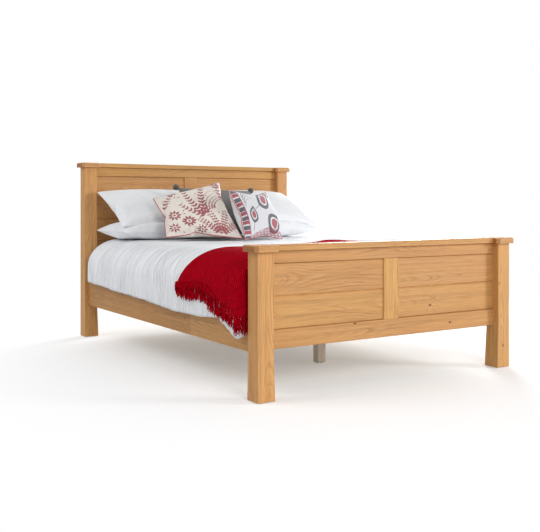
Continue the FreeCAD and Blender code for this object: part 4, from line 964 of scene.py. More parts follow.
def knitted_wool():
    """Rib-knitted wool yarn in a deep red."""
    material = new_material("red_wool_knit")
    cloth = add(material, "UVMap", {"uv_map": "cloth"})
    parts = add(material, "SeparateXYZ", inputs={0: cloth})
    over = add(material, "Math", {"operation": "DIVIDE"}, [parts.outputs[0], RIB_PITCH])
    down = add(material, "Math", {"operation": "DIVIDE"}, [parts.outputs[1], STITCH_PITCH])
    phase = add(material, "Math", {"operation": "PINGPONG"}, [over, 0.5])
    rib = add(material, "Math", {"operation": "MULTIPLY"}, [phase, 2.0])
    rib = add(material, "Math", {"operation": "POWER"}, [rib, 0.7])
    slant = add(material, "Math", {"operation": "MULTIPLY"}, [phase, 2.2])
    slant = add(material, "Math", {"operation": "ADD"}, [down, slant])
    stitch = add(material, "Math", {"operation": "PINGPONG"}, [slant, 0.5])
    stitch = add(material, "Math", {"operation": "MULTIPLY"}, [stitch, 2.0])
    place = add(material, "TexCoord").outputs["Object"]
    fluff = add(material, "TexNoise", inputs={"Vector": place, "Scale": 700.0, "Detail": 3.0})
    patchy = add(material, "TexNoise", inputs={"Vector": place, "Scale": 60.0, "Detail": 2.0})
    height = add(material, "Math", {"operation": "MULTIPLY_ADD"}, [stitch, 0.16, rib])
    height = add(material, "Math", {"operation": "MULTIPLY_ADD"}, [fluff, 0.35, height])
    patchy = add(material, "ValToRGB", inputs=[patchy], stops=[(0.35, 0.0), (0.65, 1.0)])
    yarn = add(material, "Mix", BLEND, {0: patchy, MIX_A: colour("#C4041F"), MIX_B: colour("#AC031A")})
    # The colour falls almost to black towards the bottom of each groove between the ribs: painted shade in
    # the grooves.
    groove_painted_shade = add(material, "ValToRGB", inputs=[rib], stops=[(0.0, 0.03), (0.42, 0.72), (0.60, 1.0)])
    yarn = add(material, "Mix", TINT, {0: 1.0, MIX_A: yarn, MIX_B: groove_painted_shade})
    bump = add(material, "Bump", inputs={"Strength": 0.9, "Distance": 0.0026, "Height": height})
    shader = add(material, "BsdfPrincipled", inputs={
        "Base Color": yarn, "Roughness": 0.95, "Sheen Weight": 0.03, "Sheen Roughness": 0.4,
        "Sheen Tint": colour("#D01030"), "Specular IOR Level": 0.02, "Normal": bump})
    return finish_surface(material, shader)


throw_bm = bmesh.new()
bmesh.ops.create_grid(throw_bm, x_segments=THROW_COLUMNS, y_segments=THROW_ROWS, size=1)
flat_cloth = verts_of(throw_bm)
share_y = flat_cloth[:, 1] / 2 + 0.5
upper_edge = np.interp(flat_cloth[:, 0] * reach_to(THROW_HEM), *zip(*THROW_UPPER_EDGE))
along = THROW_FOOT + (upper_edge - THROW_FOOT) * np.clip((share_y - WRAP_SHARE) / (1 - WRAP_SHARE), 0, 1)
wrap_turn = np.clip(1 - share_y / WRAP_SHARE, 0, 1) * math.pi / 2
along -= WRAP_AHEAD * np.sin(wrap_turn)
inward = WRAP_INWARD * (1 - np.cos(wrap_turn))
across = flat_cloth[:, 0] * reach_to(throw_hem_height(along))
move_verts(throw_bm, over_bed(across, along, throw_lift(across, along) - inward))
cloth_map = throw_bm.loops.layers.uv.new("cloth")
slant = RIB_SLANT[0] * along + RIB_SLANT[1] * np.abs(across) - inward
measures = np.column_stack([slant, RIB_SLANT[0] * across - RIB_SLANT[1] * along])
for face in throw_bm.faces:
    for loop in face.loops:
        loop[cloth_map].uv = measures[loop.vert.index]
red_wool = knitted_wool()
throw = new_piece("throw_panel", throw_bm, "throw", red_wool)
thick = throw.modifiers.new("knit_thickness", "SOLIDIFY")
thick.thickness = THROW_THICKNESS
thick.offset = 0
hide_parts("throw")
print("throw points:", len(throw.data.vertices))

# %% [markdown]
# ## The fringe
#
# Tassels of five yarns are knotted into each end of the throw. They hang down the duvet's side,
# cross and sway, and no two are the same length. Each yarn is a thin three-sided tube along its own
# wavering line, which is enough at its size and keeps the hundreds of them light. One straight tube
# is extruded ring by ring and closed at its end. Every yarn is a copy of it, with its rings moved.

# %% Fringe
TASSEL_SPACING = 0.0090
YARNS_IN_TASSEL = 5
YARN_RADIUS = 0.0027
FRINGE_ENDS = [(-0.945, 0.262), (-0.915, 0.300), (-0.88, 0.313), (-0.76, 0.320), (-0.69, 0.339),
               (-0.66, 0.364), (-0.56, 0.376), (-0.466, 0.364), (-0.295, 0.381)]
YARN_POINTS = 8
YARN_SIDES = 3
# How far a tassel leans and a yarn spreads, and the ranges that each yarn's own measures come from
TASSEL_LEAN = 0.010
YARN_SPREAD = 0.007
YARN_SWAY = (0.002, 0.006)
YARN_WAVES = (0.8, 2.2)
YARN_ARCH = (0, 0.008)
LENGTH_SCATTER = (-0.016, 0.010)
# How far a yarn starts above the hem, stands off the duvet at its knot and sinks to it at its end
KNOT_OVERLAP = 0.006
YARN_STAND = 0.0035
YARN_SINK = 0.004
# The tassels on the edge that turns in at the foot, and how much straighter they hang
WRAPPED_TASSELS = 14
WRAPPED_SPACING = 0.0075
WRAPPED_LEAN = 0.3
FRINGE_SEED = 5


def straight_tube(sides, rings):
    """A tube of radius 1 along Z, a unit between its rings and closed at its end, as a mesh."""
    bm = bmesh.new()
    bmesh.ops.create_circle(bm, segments=sides, radius=1)
    for ring in range(1, rings):
        last = [edge for edge in bm.edges if min(vert.co.z for vert in edge.verts) > ring - 1.5]
        made = bmesh.ops.extrude_edge_only(bm, edges=last)["geom"]
        fresh = [part for part in made if isinstance(part, bmesh.types.BMVert)]
        bmesh.ops.translate(bm, verts=fresh, vec=(0, 0, 1))
    last = [edge for edge in bm.edges if min(vert.co.z for vert in edge.verts) > rings - 1.5]
    bmesh.ops.edgeloop_fill(bm, edges=last)
    bmesh.ops.recalc_face_normals(bm, faces=bm.faces[:])
    mesh = bpy.data.meshes.new("straight_tube")
    bm.to_mesh(mesh)
    bm.free()
    return mesh


def lay_tube(bm, tube, points, radii):
    """Add a copy of a straight tube with its rings moved to a row of points, a radius for each."""
    first = len(bm.verts)
    bm.from_mesh(tube)
    bm.verts.ensure_lookup_table()
    rings = []
    for index, point in enumerate(points):
        ahead = points[min(index + 1, len(points) - 1)] - points[max(index - 1, 0)]
        turn = ahead.to_track_quat("Z", "Y").to_matrix().to_4x4()
        rings.append(Matrix.Translation(point) @ turn @ Matrix.Scale(radii[index], 4))
    for vert in bm.verts[first:]:
        ring = rings[round(vert.co.z)]
        vert.co = ring @ Vector((vert.co.x, vert.co.y, 0))


def fringe_yarns(bm, tube, draw):
    """Every yarn of the fringe on both sides. Gives their number."""
    count = 0
    for side in (-1, 1):
        span = THROW_UPPER[side] - THROW_FOOT
        knots = [(THROW_FOOT + 0.004 + index * TASSEL_SPACING, 0.0)
                 for index in range(int(span / TASSEL_SPACING))]
        knots += [(THROW_FOOT - WRAP_AHEAD * (0.5 + 0.035 * index), WRAPPED_SPACING * index)
                  for index in range(WRAPPED_TASSELS)]
        for knot, inward in knots:
            lean = draw.gauss(0, TASSEL_LEAN) * (WRAPPED_LEAN if inward else 1.0)
            for yarn in range(YARNS_IN_TASSEL):
                end = np.interp(knot, *zip(*FRINGE_ENDS))
                length = float(throw_hem_height(knot) - end) + draw.uniform(*LENGTH_SCATTER)
                count += 1
                add_yarn(bm, tube, draw, side, knot, lean, length, inward)
    return count


def add_yarn(bm, tube, draw, side, knot, lean, length, inward):
    """One yarn: it starts in its tassel's knot and wavers down the drop."""
    steps = np.linspace(0, 1, YARN_POINTS)
    start = reach_to(throw_hem_height(np.array([knot])))[0] - KNOT_OVERLAP
    spread = draw.gauss(0, YARN_SPREAD)
    sway = draw.uniform(*YARN_SWAY)
    phase = draw.uniform(0, 2 * math.pi)
    waves = draw.uniform(*YARN_WAVES)
    along = knot + (lean + spread) * steps ** 1.3
    along = along + sway * steps * np.sin(phase + waves * 2 * math.pi * steps)
    along = np.clip(along, THROW_FOOT - WRAP_AHEAD, None)
    across = side * (start + length * steps)
    stand = YARN_STAND + draw.uniform(*YARN_ARCH) * np.sin(math.pi * np.clip(steps * 1.1, 0, 1))
    lift = throw_lift(across, along) + stand * steps ** 0.4 - YARN_SINK * steps - inward
    radii = YARN_RADIUS * (1 - 0.35 * steps)
    lay_tube(bm, tube, [Vector(place) for place in over_bed(across, along, lift)], radii)


def yarn_wool():
    """The loose yarn of the fringe: the same red, twisted."""
    material = new_material("red_wool_yarn")
    place = add(material, "TexCoord").outputs["Object"]
    twist = add(material, "Mapping", inputs={"Vector": place, "Rotation": (math.radians(35), 0, 0),
                                             "Scale": (500, 500, 900)})
    fibres = add(material, "TexNoise", inputs={"Vector": twist, "Scale": 1.0, "Detail": 2.0})
    patchy = add(material, "TexNoise", inputs={"Vector": place, "Scale": 90.0, "Detail": 1.0})
    patchy = add(material, "ValToRGB", inputs=[patchy], stops=[(0.35, 0.0), (0.65, 1.0)])
    yarn = add(material, "Mix", BLEND, {0: patchy, MIX_A: colour("#C2041E"), MIX_B: colour("#9A0315")})
    bump = add(material, "Bump", inputs={"Strength": 0.6, "Distance": 0.0006, "Height": fibres})
    shader = add(material, "BsdfPrincipled", inputs={
        "Base Color": yarn, "Roughness": 0.95, "Sheen Weight": 0.03, "Sheen Roughness": 0.4,
        "Sheen Tint": colour("#D01030"), "Specular IOR Level": 0.02, "Normal": bump})
    return finish_surface(material, shader)


fringe_bm = bmesh.new()
yarn_tube = straight_tube(YARN_SIDES, YARN_POINTS)
yarns = fringe_yarns(fringe_bm, yarn_tube, random.Random(FRINGE_SEED))
print("yarns in the fringe:", yarns)
fringe = new_piece("throw_fringe", fringe_bm, "throw", yarn_wool())

# %% [markdown]
# ## Stuffed covers
#
# A pillowcase or cushion cover is two flat pieces of cloth sewn together round the rim. So that is
# what is modelled, and Blender's cloth simulation fills it: pressure pushes the two sheets apart
# until the cover holds its volume of stuffing, gravity is off, and the wrinkles that run in from
# the seams and the pointed corners come by themselves. The flat places of the points are kept, so
# that weave and print can follow the cloth.

# %% Two sheets sewn together
STUFFING_FRAMES = 24
CLOTH_SETTINGS = {"quality": 5, "mass": 0.3, "tension_stiffness": 15, "compression_stiffness": 5,
                  "shear_stiffness": 5, "air_damping": 3.0, "use_pressure": True,
                  "use_pressure_volume": True, "pressure_factor": 1.0}


def sewn_sheets(width, depth, spacing, seed):
    """Two flat sheets joined round their rim, a little apart and not quite even."""
    bm = bmesh.new()
    flat = bm.verts.layers.float_vector.new("cloth")
    bmesh.ops.create_grid(bm, x_segments=round(width / spacing), y_segments=round(depth / spacing),
                          size=0.5, matrix=Matrix.Diagonal((width, depth, 1, 1)))
    everything = bm.verts[:] + bm.edges[:] + bm.faces[:]
    copied = bmesh.ops.duplicate(bm, geom=everything)["geom"]
    lower = [part for part in copied if isinstance(part, bmesh.types.BMFace)]
    bmesh.ops.reverse_faces(bm, faces=lower)
    lower_points = {vert for face in lower for vert in face.verts}
    for vert in bm.verts:
        across = 2 * vert.co.x / width
        up = 2 * vert.co.y / depth
        room = (1 - across ** 4) * (1 - up ** 4)
        apart = 0.010 + 0.006 * noise.noise(vert.co * 9 + Vector((0, 0, seed)))
        underneath = vert in lower_points
        vert[flat] = (vert.co.x, vert.co.y, -1.0 if underneath else 1.0)
        vert.co.z = apart * room * (-1 if underneath else 1)
    bmesh.ops.remove_doubles(bm, verts=bm.verts[:], dist=1e-6)
    return bm


def stuffed(name, bm, volume, firmness, bending, levels):
    """Fill a sewn cover by cloth simulation and smooth it. Gives the finished mesh."""
    mesh = bpy.data.meshes.new(name + "_flat")
    bm.to_mesh(mesh)
    bm.free()
    cover = bpy.data.objects.new(name + "_flat", mesh)
    scene = bpy.context.scene
    scene.collection.objects.link(cover)
    cloth = cover.modifiers.new("stuffing", "CLOTH")
    cloth.point_cache.frame_start = 1
    cloth.point_cache.frame_end = STUFFING_FRAMES
    for setting, value in CLOTH_SETTINGS.items():
        setattr(cloth.settings, setting, value)
    cloth.settings.bending_stiffness = bending
    cloth.settings.target_volume = volume
    cloth.settings.uniform_pressure_force = firmness
    cloth.settings.effector_weights.gravity = 0
    for frame_number in range(1, STUFFING_FRAMES + 1):
        scene.frame_set(frame_number)
    held = bpy.data.meshes.new_from_object(cover.evaluated_get(bpy.context.evaluated_depsgraph_get()))
    cover.modifiers.clear()
    cover.data = held
    scene.frame_set(1)
    smoother = cover.modifiers.new("smoother", "SUBSURF")
    smoother.levels = smoother.render_levels = levels
    finished = bpy.data.meshes.new_from_object(cover.evaluated_get(bpy.context.evaluated_depsgraph_get()))
    bpy.data.objects.remove(cover)
    return finished


# %% [markdown]
# The filled cover is then brought to the size of the cushion that it stands for, turned the way
# that one leans, and moved to its place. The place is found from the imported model: its points,
# turned back level, give the middle of the pad. Where a cover reaches the duvet under it, it is
# pressed flat.


# %% Put a cover in its place
# How far above the duvet a pressed cover rests, and the share of its depth that is left below that
COVER_CLEARANCE = 0.002
PRESSED_SHARE = 0.15


def pad_turn(lean, yaw, roll):
    """Roll a pad in its own plane, stand it up to lean back, and turn it."""
    return (Matrix.Rotation(math.radians(yaw), 3, "Z") @ Matrix.Rotation(math.radians(90 - lean), 3, "X")
            @ Matrix.Rotation(math.radians(roll), 3, "Z"))


def cloth_places(mesh):
    """The flat places of a cover's points, and which side they are on."""
    values = np.zeros(len(mesh.vertices) * 3, dtype=np.float32)
    mesh.attributes["cloth"].data.foreach_get("vector", values)
    values = values.reshape(-1, 3)
    return values[:, :2].astype(float), values[:, 2]


def place_cover(mesh, node, size, crown, underside, turn, spread=0.0, below=1.0, flip=False):
    """Bring a filled cover to a pad's size and place, its right side spread taller than its left
    and its lower half drawn in to a share of its height. Gives its points as rows."""
    turn = np.array(turn)
    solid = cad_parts[node].data.vertices
    corners = np.array([vert.co for vert in solid]) @ turn
    middle = (corners.min(axis=0) + corners.max(axis=0)) / 2
    middle[2] -= (crown - underside) / 2
    points = np.array([vert.co for vert in mesh.vertices])
    cloth, side = cloth_places(mesh)
    seam = points[np.max(np.abs(cloth) / np.abs(cloth).max(axis=0), axis=1) > 0.999]
    points -= (seam.max(axis=0) + seam.min(axis=0)) / 2
    if flip:
        points[:, 0] *= -1
        mesh.flip_normals()
    points[:, :2] *= np.array(size) / np.ptp(points[:, :2], axis=0)
    above = points[:, 2] > 0
    points[:, 2] *= np.where(above, crown / points[:, 2].max(), underside / -points[:, 2].min())
    points[:, 1] *= 1 + spread * points[:, 0] / size[0]
    points[:, 1] *= np.where(points[:, 1] < 0, below, 1.0)
    points = (points + middle) @ turn.T
    rest = BED_TOP + COVER_CLEARANCE
    low = points[:, 2] < rest
    points[low, 2] = rest - PRESSED_SHARE * (rest - points[low, 2])
    mesh.vertices.foreach_set("co", points.ravel())
    mesh.update()
    mesh.shade_smooth()
    return points


def cushion_piece(name, mesh, body, material, node):
    """A placed cover as a piece that stands for a pad."""
    mesh.materials.clear()
    mesh.materials.append(material)
    piece = bpy.data.objects.new(name, mesh)
    bpy.context.scene.collection.objects.link(piece)
    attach(piece, body)
    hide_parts(node)
    return piece


# %% [markdown]
# ## Pillows
#
# Two pillows lie on each other on each side, the upper one tipped up against the headboard. They
# are slack, so their volume is small for their cloth and the sheets keep soft dents. A lean of 90
# degrees lies flat.

# %% Pillows
PILLOW_SIZE = (0.660, 0.440)
PILLOW_CLOTH = (0.715, 0.485)
PILLOW_FACE = 0.009
PILLOWS = {
    "lower": {"crown": 0.062, "underside": 0.052, "lean": 90, "volume": 0.0205, "seed": 3.0},
    "upper": {"crown": 0.057, "underside": 0.046, "lean": 63, "volume": 0.0215, "seed": 8.0},
}
pillow_cotton = cotton("pillow_cotton", "#EDEFF2", "#E8EAED", 0.030, 0.0010)

for level, spec in PILLOWS.items():
    for side in ("left", "right"):
        node = f"pillow_{side}_{level}"
        seed = spec["seed"] + (5.0 if side == "right" else 0.0)
        sheets = sewn_sheets(*PILLOW_CLOTH, PILLOW_FACE, seed)
        mesh = stuffed(node, sheets, spec["volume"], firmness=0.5, bending=0.25, levels=1)
        place_cover(mesh, node, PILLOW_SIZE, spec["crown"], spec["underside"],
                    turn=pad_turn(spec["lean"], yaw=0, roll=0), flip=side == "right")
        cushion_piece(node + "_case", mesh, "pillows", pillow_cotton, node)
print("pillows made")

# %% [markdown]
# ## Linen and its print
#
# The scatter cushions are linen: thicker, uneven threads that show as a grid of slubs. Its threads
# are 0.5 mm apart and drawn at twice that, so that they show. Two of the cushions are printed. A
# print is a matter of outlines, so each motif is worked out as a distance: every point of the cloth
# knows how far it is from the nearest printed edge, and is inked where that is below zero. The
# material turns the distance into a crisp edge, with the ink a little worn on the threads' tops.

# %% Linen
THREAD_PITCH = 0.0011


def woven(material, relief):
    """The thread pattern of a plain weave: its height and its unevenness."""
    cloth = add(material, "Attribute", {"attribute_name": "cloth"}).outputs["Vector"]
    heights = []
    for across, along in ((1.0, 0.05), (0.05, 1.0)):
        stretch = add(material, "Mapping", inputs={
            "Vector": cloth, "Scale": (across / THREAD_PITCH, along / THREAD_PITCH, 0)})
        threads = add(material, "TexNoise", inputs={"Vector": stretch, "Scale": 1.0, "Detail": 1.0})
        heights.append(threads)
    height = add(material, "Math", {"operation": "ADD"}, heights)
    place = add(material, "TexCoord").outputs["Object"]
    rumple = add(material, "TexNoise", inputs={"Vector": place, "Scale": 45.0, "Detail": 3.0})
    soft = add(material, "Bump", inputs={"Strength": 0.4, "Distance": 0.0015, "Height": rumple})
    bump = add(material, "Bump", inputs={"Strength": 0.6, "Distance": relief, "Height": height,
                                         "Normal": soft})
    return height, bump


def linen(name, base, shade, inks=()):
    """Linen with printed inks. Each ink is (attribute, colour, strength)."""
    material = new_material(name)
    threads, normal = woven(material, 0.0006)
    # Threads lower in the weave take the darker shade colour and raised ones the base colour: painted shade
    # in the weave.
    raised = add(material, "ValToRGB", inputs=[threads], stops=[(0.75, 0.0), (1.0, 1.0)])
    cloth = add(material, "Mix", BLEND, {0: raised, MIX_A: colour(shade), MIX_B: colour(base)})
    for attribute, ink, strength in inks:
        distance = add(material, "Attribute", {"attribute_name": attribute}).outputs["Fac"]
        inked = add(material, "MapRange", {"interpolation_type": "SMOOTHSTEP"},
                    {0: distance, 1: -0.0006, 2: 0.0006, 3: 1.0, 4: 0.0})
        worn = add(material, "ValToRGB", inputs=[threads],
                   stops=[(0.85, strength), (1.0, strength * 0.85)])
        inked = add(material, "Math", {"operation": "MULTIPLY"}, [inked, worn])
        cloth = add(material, "Mix", BLEND, {0: inked, MIX_A: cloth, MIX_B: colour(ink)})
    shader = add(material, "BsdfPrincipled", inputs={
        "Base Color": cloth, "Roughness": 0.9, "Sheen Weight": 0.1, "Normal": normal})
    return finish_surface(material, shader)


# %% [markdown]
# The motifs are leaves, dots, stems and rosettes, each a few lines of arithmetic on the cloth's
# flat coordinates. A stem is a row of short strokes, and leaves stand in pairs along it.


# %% Motifs
def leaf(cloth, base, angle, length, width):
    """Distance to a pointed leaf that grows from base."""
    ahead = np.array((math.cos(angle), math.sin(angle)))
    along = (cloth - base) @ ahead
    beside = np.abs((cloth - base) @ np.array((-ahead[1], ahead[0])))
    share = np.clip(along / length, 0, 1)
    half = width / 2 * np.sin(math.pi * share ** 0.8) ** 0.9
    return np.maximum(beside - half, np.maximum(-along, along - length))


def dot(cloth, centre, radius):
    """Distance to a round dot."""
    return np.hypot(*(cloth - centre).T) - radius


def stroke(cloth, start, end, width):
    """Distance to a straight stroke with round ends."""
    line = np.subtract(end, start)
    share = np.clip(((cloth - start) @ line) / (line @ line), 0, 1)
    return np.hypot(*(cloth - start - share[:, None] * line).T) - width / 2


def bent_line(start, angle, length, bend, count):
    """Points along a line that turns evenly by bend over its length, with its direction at each."""
    places = []
    place = np.array(start, dtype=float)
    for index in range(count + 1):
        places.append((place.copy(), angle))
        place = place + length / count * np.array((math.cos(angle), math.sin(angle)))
        angle += bend / count
    return places


def leafy_stem(cloth, start, angle, length, bend, pairs, leaf_length):
    """Distance to a stem with pairs of leaves that get smaller to its tip."""
    stem = bent_line(start, angle, length, bend, pairs)
    nearest = np.full(len(cloth), 1.0)
    for (one, turn), (two, after) in zip(stem, stem[1:]):
        nearest = np.minimum(nearest, stroke(cloth, one, two, 0.0022))
    for index, (place, turn) in enumerate(stem[1:]):
        size = leaf_length * (1.05 - 0.55 * index / pairs)
        for side in (-1, 1):
            nearest = np.minimum(nearest, leaf(cloth, place, turn + side * 0.85, size, size * 0.44))
    return nearest


def dotted_arc(cloth, start, angle, length, bend, dots, radius):
    """Distance to dots along a bent line."""
    nearest = np.full(len(cloth), 1.0)
    for index, (place, turn) in enumerate(bent_line(start, angle, length, bend, dots)):
        nearest = np.minimum(nearest, dot(cloth, place, radius * (1.1 - 0.6 * index / dots)))
    return nearest


def rosette(cloth, centre, radius, petals):
    """Distance to a flower of separate petals round a dot."""
    nearest = dot(cloth, centre, radius * 0.17)
    for index in range(petals):
        angle = 2 * math.pi * index / petals
        base = np.array(centre) + radius * 0.3 * np.array((math.cos(angle), math.sin(angle)))
        nearest = np.minimum(nearest, leaf(cloth, base, angle, radius * 0.7, radius * 0.34))
    return nearest


def diamonds(cloth, centre, radii, pitch):
    """Distance to a patch of small open diamonds inside an oval."""
    turned = cloth @ np.array(((0.7071, 0.7071), (-0.7071, 0.7071)))
    cell = np.abs((turned / pitch) % 1 - 0.5).max(axis=1) * pitch
    lines = np.abs(cell - pitch * 0.36) - pitch * 0.085
    oval = (np.hypot(*((cloth - centre) / radii).T) - 1) * min(radii)
    return np.maximum(lines, oval)


def put_print(mesh, name, distance):
    """Store a print's distances on the cloth's points."""
    layer = mesh.attributes.new(name, "FLOAT", "POINT")
    layer.data.foreach_set("value", distance.astype(np.float32))


# %% [markdown]
# Covers are closed with a piped seam. The piping is a thin roll of cloth round the rim: a ring of
# small circles stands along the seam's own points, and each is bridged to the next.


# %% Piping
PIPING_SIDES = 6
PIPING_STEP = 3


def seam_points(mesh, size, points):
    """Points of the seam in order round the cover, one in every few."""
    cloth, side = cloth_places(mesh)
    half = np.array(size) / 2
    on_rim = np.nonzero(np.max(np.abs(cloth) / half, axis=1) > 0.9995)[0]
    corner = cloth[on_rim] / half
    around = np.where(np.abs(corner[:, 0]) >= np.abs(corner[:, 1]),
                      np.where(corner[:, 0] > 0, corner[:, 1], 4 - corner[:, 1]),
                      np.where(corner[:, 1] > 0, 2 - corner[:, 0], 6 + corner[:, 0]))
    order = on_rim[np.argsort(around)]
    return [Vector(points[index]) for index in order[::PIPING_STEP]]


def sweep_ring(bm, points, radius):
    """A closed tube through a ring of points."""
    rings = []
    for index, point in enumerate(points):
        ahead = points[(index + 1) % len(points)] - points[index - 1]
        turn = ahead.to_track_quat("Z", "Y").to_matrix().to_4x4()
        made = bmesh.ops.create_circle(bm, segments=PIPING_SIDES, radius=radius,
                                       matrix=Matrix.Translation(point) @ turn)
        rings.append(list({edge for vert in made["verts"] for edge in vert.link_edges}))
    for index, ring in enumerate(rings):
        bmesh.ops.bridge_loops(bm, edges=rings[index - 1] + ring)
    bmesh.ops.recalc_face_normals(bm, faces=bm.faces[:])


def piping_piece(name, points, radius, body, material):
    """A piped seam as a piece of the bed."""
    bm = bmesh.new()
    sweep_ring(bm, points, radius)
    return new_piece(name, bm, body, material)


# %% [markdown]
# ## The grey cushion
#
# The cushion at the back is plain grey linen with a wool pompom on each corner. A pompom is a ball
# of cut yarn ends: a fine ball whose points are pushed out and in by noise.

# %% Grey cushion with pompoms
GREY_SIZE = (0.500, 0.460)
GREY_CLOTH = (0.545, 0.505)
GREY_FACE = 0.010
grey_linen = linen("grey_linen", "#74736F", "#605F5C")
grey_sheets = sewn_sheets(*GREY_CLOTH, GREY_FACE, seed=12.0)
grey_mesh = stuffed("cushion_grey", grey_sheets, volume=0.0175, firmness=0.8, bending=0.3, levels=1)
grey_points = place_cover(grey_mesh, "cushion_grey", GREY_SIZE, crown=0.062, underside=0.062,
                          turn=pad_turn(lean=50, yaw=-2, roll=-3), below=0.78)
cushion_piece("cushion_grey_cover", grey_mesh, "cushion_grey", grey_linen,
              "cushion_grey")


def pompom_wool():
    """Cut yarn ends of a dark grey wool pompom."""
    material = new_material("pompom_wool")
    place = add(material, "TexCoord").outputs["Object"]
    ends = add(material, "TexVoronoi", inputs={"Vector": place, "Scale": 420.0}).outputs["Distance"]
    # The wool is darker towards the gaps between the cut ends: painted shade deep in the pile.
    depth = add(material, "ValToRGB", inputs=[ends], stops=[(0.1, 0.0), (0.7, 1.0)])
    wool = add(material, "Mix", BLEND, {0: depth, MIX_A: colour("#7A7772"), MIX_B: colour("#474442")})
    bump = add(material, "Bump", inputs={"Strength": 1.0, "Distance": 0.003, "Height": ends})
    shader = add(material, "BsdfPrincipled", inputs={
        "Base Color": wool, "Roughness": 0.95, "Sheen Weight": 0.3, "Normal": bump})
    return finish_surface(material, shader)


POMPOM_RADIUS = 0.018
pompom_bm = bmesh.new()
grey_cloth, grey_side = cloth_places(grey_mesh)
for corner_x in (-1, 1):
    for corner_y in (-1, 1):
        nearest = np.argmin(np.hypot(grey_cloth[:, 0] - corner_x * GREY_CLOTH[0] / 2,
                                     grey_cloth[:, 1] - corner_y * GREY_CLOTH[1] / 2))
        outward = Vector(grey_points[nearest]) - Vector(grey_points.mean(axis=0))
        centre = Vector(grey_points[nearest]) + outward.normalized() * POMPOM_RADIUS * 0.6
        centre.z = max(centre.z, BED_TOP + POMPOM_RADIUS * 0.9)
        ball = bmesh.ops.create_icosphere(pompom_bm, subdivisions=4, radius=POMPOM_RADIUS,
                                          matrix=Matrix.Translation(centre))
        for vert in ball["verts"]:
            away = vert.co - centre
            vert.co = centre + away * (1 + 0.16 * noise.noise(vert.co * 260))
new_piece("cushion_grey_pompoms", pompom_bm, "cushion_grey", pompom_wool())
print("grey cushion made")

# %% [markdown]
# ## The cushion with the leafy print
#
# Cream linen printed in one crimson ink, with a thin red piping. The layout here is a free one:
# leafy stems that fan out from a point near the middle, dotted arcs between them, rosettes on
# stalks, a bush of small leaves in a corner, and single leaves strewn over the gaps.

# %% Leafy print cushion
SPRIG_SIZE = (0.425, 0.398)
SPRIG_CLOTH = (0.462, 0.434)
PRINTED_FACE = 0.0085
SPRAYS = 110
SPRAY_SEED = 21


def leafy_print(cloth):
    """Distance to the crimson print."""
    nearest = np.full(len(cloth), 1.0)
    for start, angle, length, bend, pairs, size in (
            ((0.055, -0.085), 2.25, 0.235, -0.55, 9, 0.037), ((0.055, -0.085), 1.80, 0.275, -0.75, 10, 0.037),
            ((0.055, -0.085), 2.75, 0.185, -0.65, 7, 0.033), ((0.195, 0.020), 1.90, 0.150, -0.50, 5, 0.032),
            ((-0.205, 0.020), 1.15, 0.170, -0.35, 6, 0.032)):
        nearest = np.minimum(nearest, leafy_stem(cloth, start, angle, length, bend, pairs, size))
    for index in range(5):
        start = (0.045 + 0.016 * index, -0.035 + 0.004 * index)
        nearest = np.minimum(nearest, dotted_arc(cloth, start, 1.75 - 0.1 * index, 0.20 - 0.018 * index,
                                                 -1.5 - 0.12 * index, 14 - index, 0.0055))
    for centre, radius, petals in (((-0.145, -0.055), 0.044, 9), ((-0.070, -0.115), 0.044, 10),
                                   ((-0.165, -0.155), 0.038, 8), ((0.000, -0.180), 0.034, 8),
                                   ((0.175, 0.170), 0.036, 8), ((0.060, 0.190), 0.026, 7),
                                   ((-0.120, 0.175), 0.036, 8)):
        nearest = np.minimum(nearest, rosette(cloth, centre, radius, petals))
        stalk = bent_line((centre[0] + radius, centre[1] - radius * 0.3), -0.35, 0.05, 0.5, 4)
        for (one, turn), (two, after) in zip(stalk, stalk[1:]):
            nearest = np.minimum(nearest, stroke(cloth, one, two, 0.0018))
    for index in range(8):
        bush = leafy_stem(cloth, (0.110, -0.200), 0.45 + 0.31 * index, 0.150, 0.2 * (-1) ** index, 8, 0.022)
        nearest = np.minimum(nearest, bush)
    draw = random.Random(SPRAY_SEED)
    for count in range(SPRAYS):
        place = np.array((draw.uniform(-0.21, 0.21), draw.uniform(-0.20, 0.20)))
        angle = draw.uniform(0, 2 * math.pi)
        spray = leaf(cloth, place, angle, 0.018, 0.007)
        clear = leaf(cloth, place - 0.012, angle, 0.030, 0.022)
        nearest = np.where(clear < nearest, np.minimum(nearest, spray), nearest)
    return nearest


printed_linen = linen("printed_linen", "#E6DFD6", "#D3CAC0", [("crimson_print", "#8C152E", 0.97)])
sprig_sheets = sewn_sheets(*SPRIG_CLOTH, PRINTED_FACE, seed=17.0)
sprig_mesh = stuffed("cushion_sprig", sprig_sheets, volume=0.0125, firmness=0.9, bending=0.3, levels=2)
sprig_places, sprig_side = cloth_places(sprig_mesh)
front = sprig_side > 0
inked = np.full(len(sprig_places), 1.0)
inked[front] = leafy_print(sprig_places[front])
put_print(sprig_mesh, "crimson_print", inked)
sprig_points = place_cover(sprig_mesh, "cushion_sprig", SPRIG_SIZE, crown=0.058, underside=0.058,
                           turn=pad_turn(lean=46, yaw=-19, roll=9), spread=0.42)
cushion_piece("cushion_sprig_cover", sprig_mesh, "cushion_sprig", printed_linen,
              "cushion_sprig")
red_piping = linen("red_piping", "#B0364A", "#8E2436")
piping_piece("cushion_sprig_piping", seam_points(sprig_mesh, SPRIG_CLOTH, sprig_points), 0.0026,
             "cushion_sprig", red_piping)
print("leafy cushion made")

# %% [markdown]
# ## The patchwork cushion
#
# The last cushion is pieced together: a pale grey ground with large dark pods that have a crimson
# heart, dotted arcs in grey, a strip of bright bands down its left side, and a lower edge of red
# diamonds. Every colour is its own print, laid over the one before.

# %% Patchwork cushion
PATCHWORK_SIZE = (0.410, 0.308)
PATCHWORK_CLOTH = (0.445, 0.342)
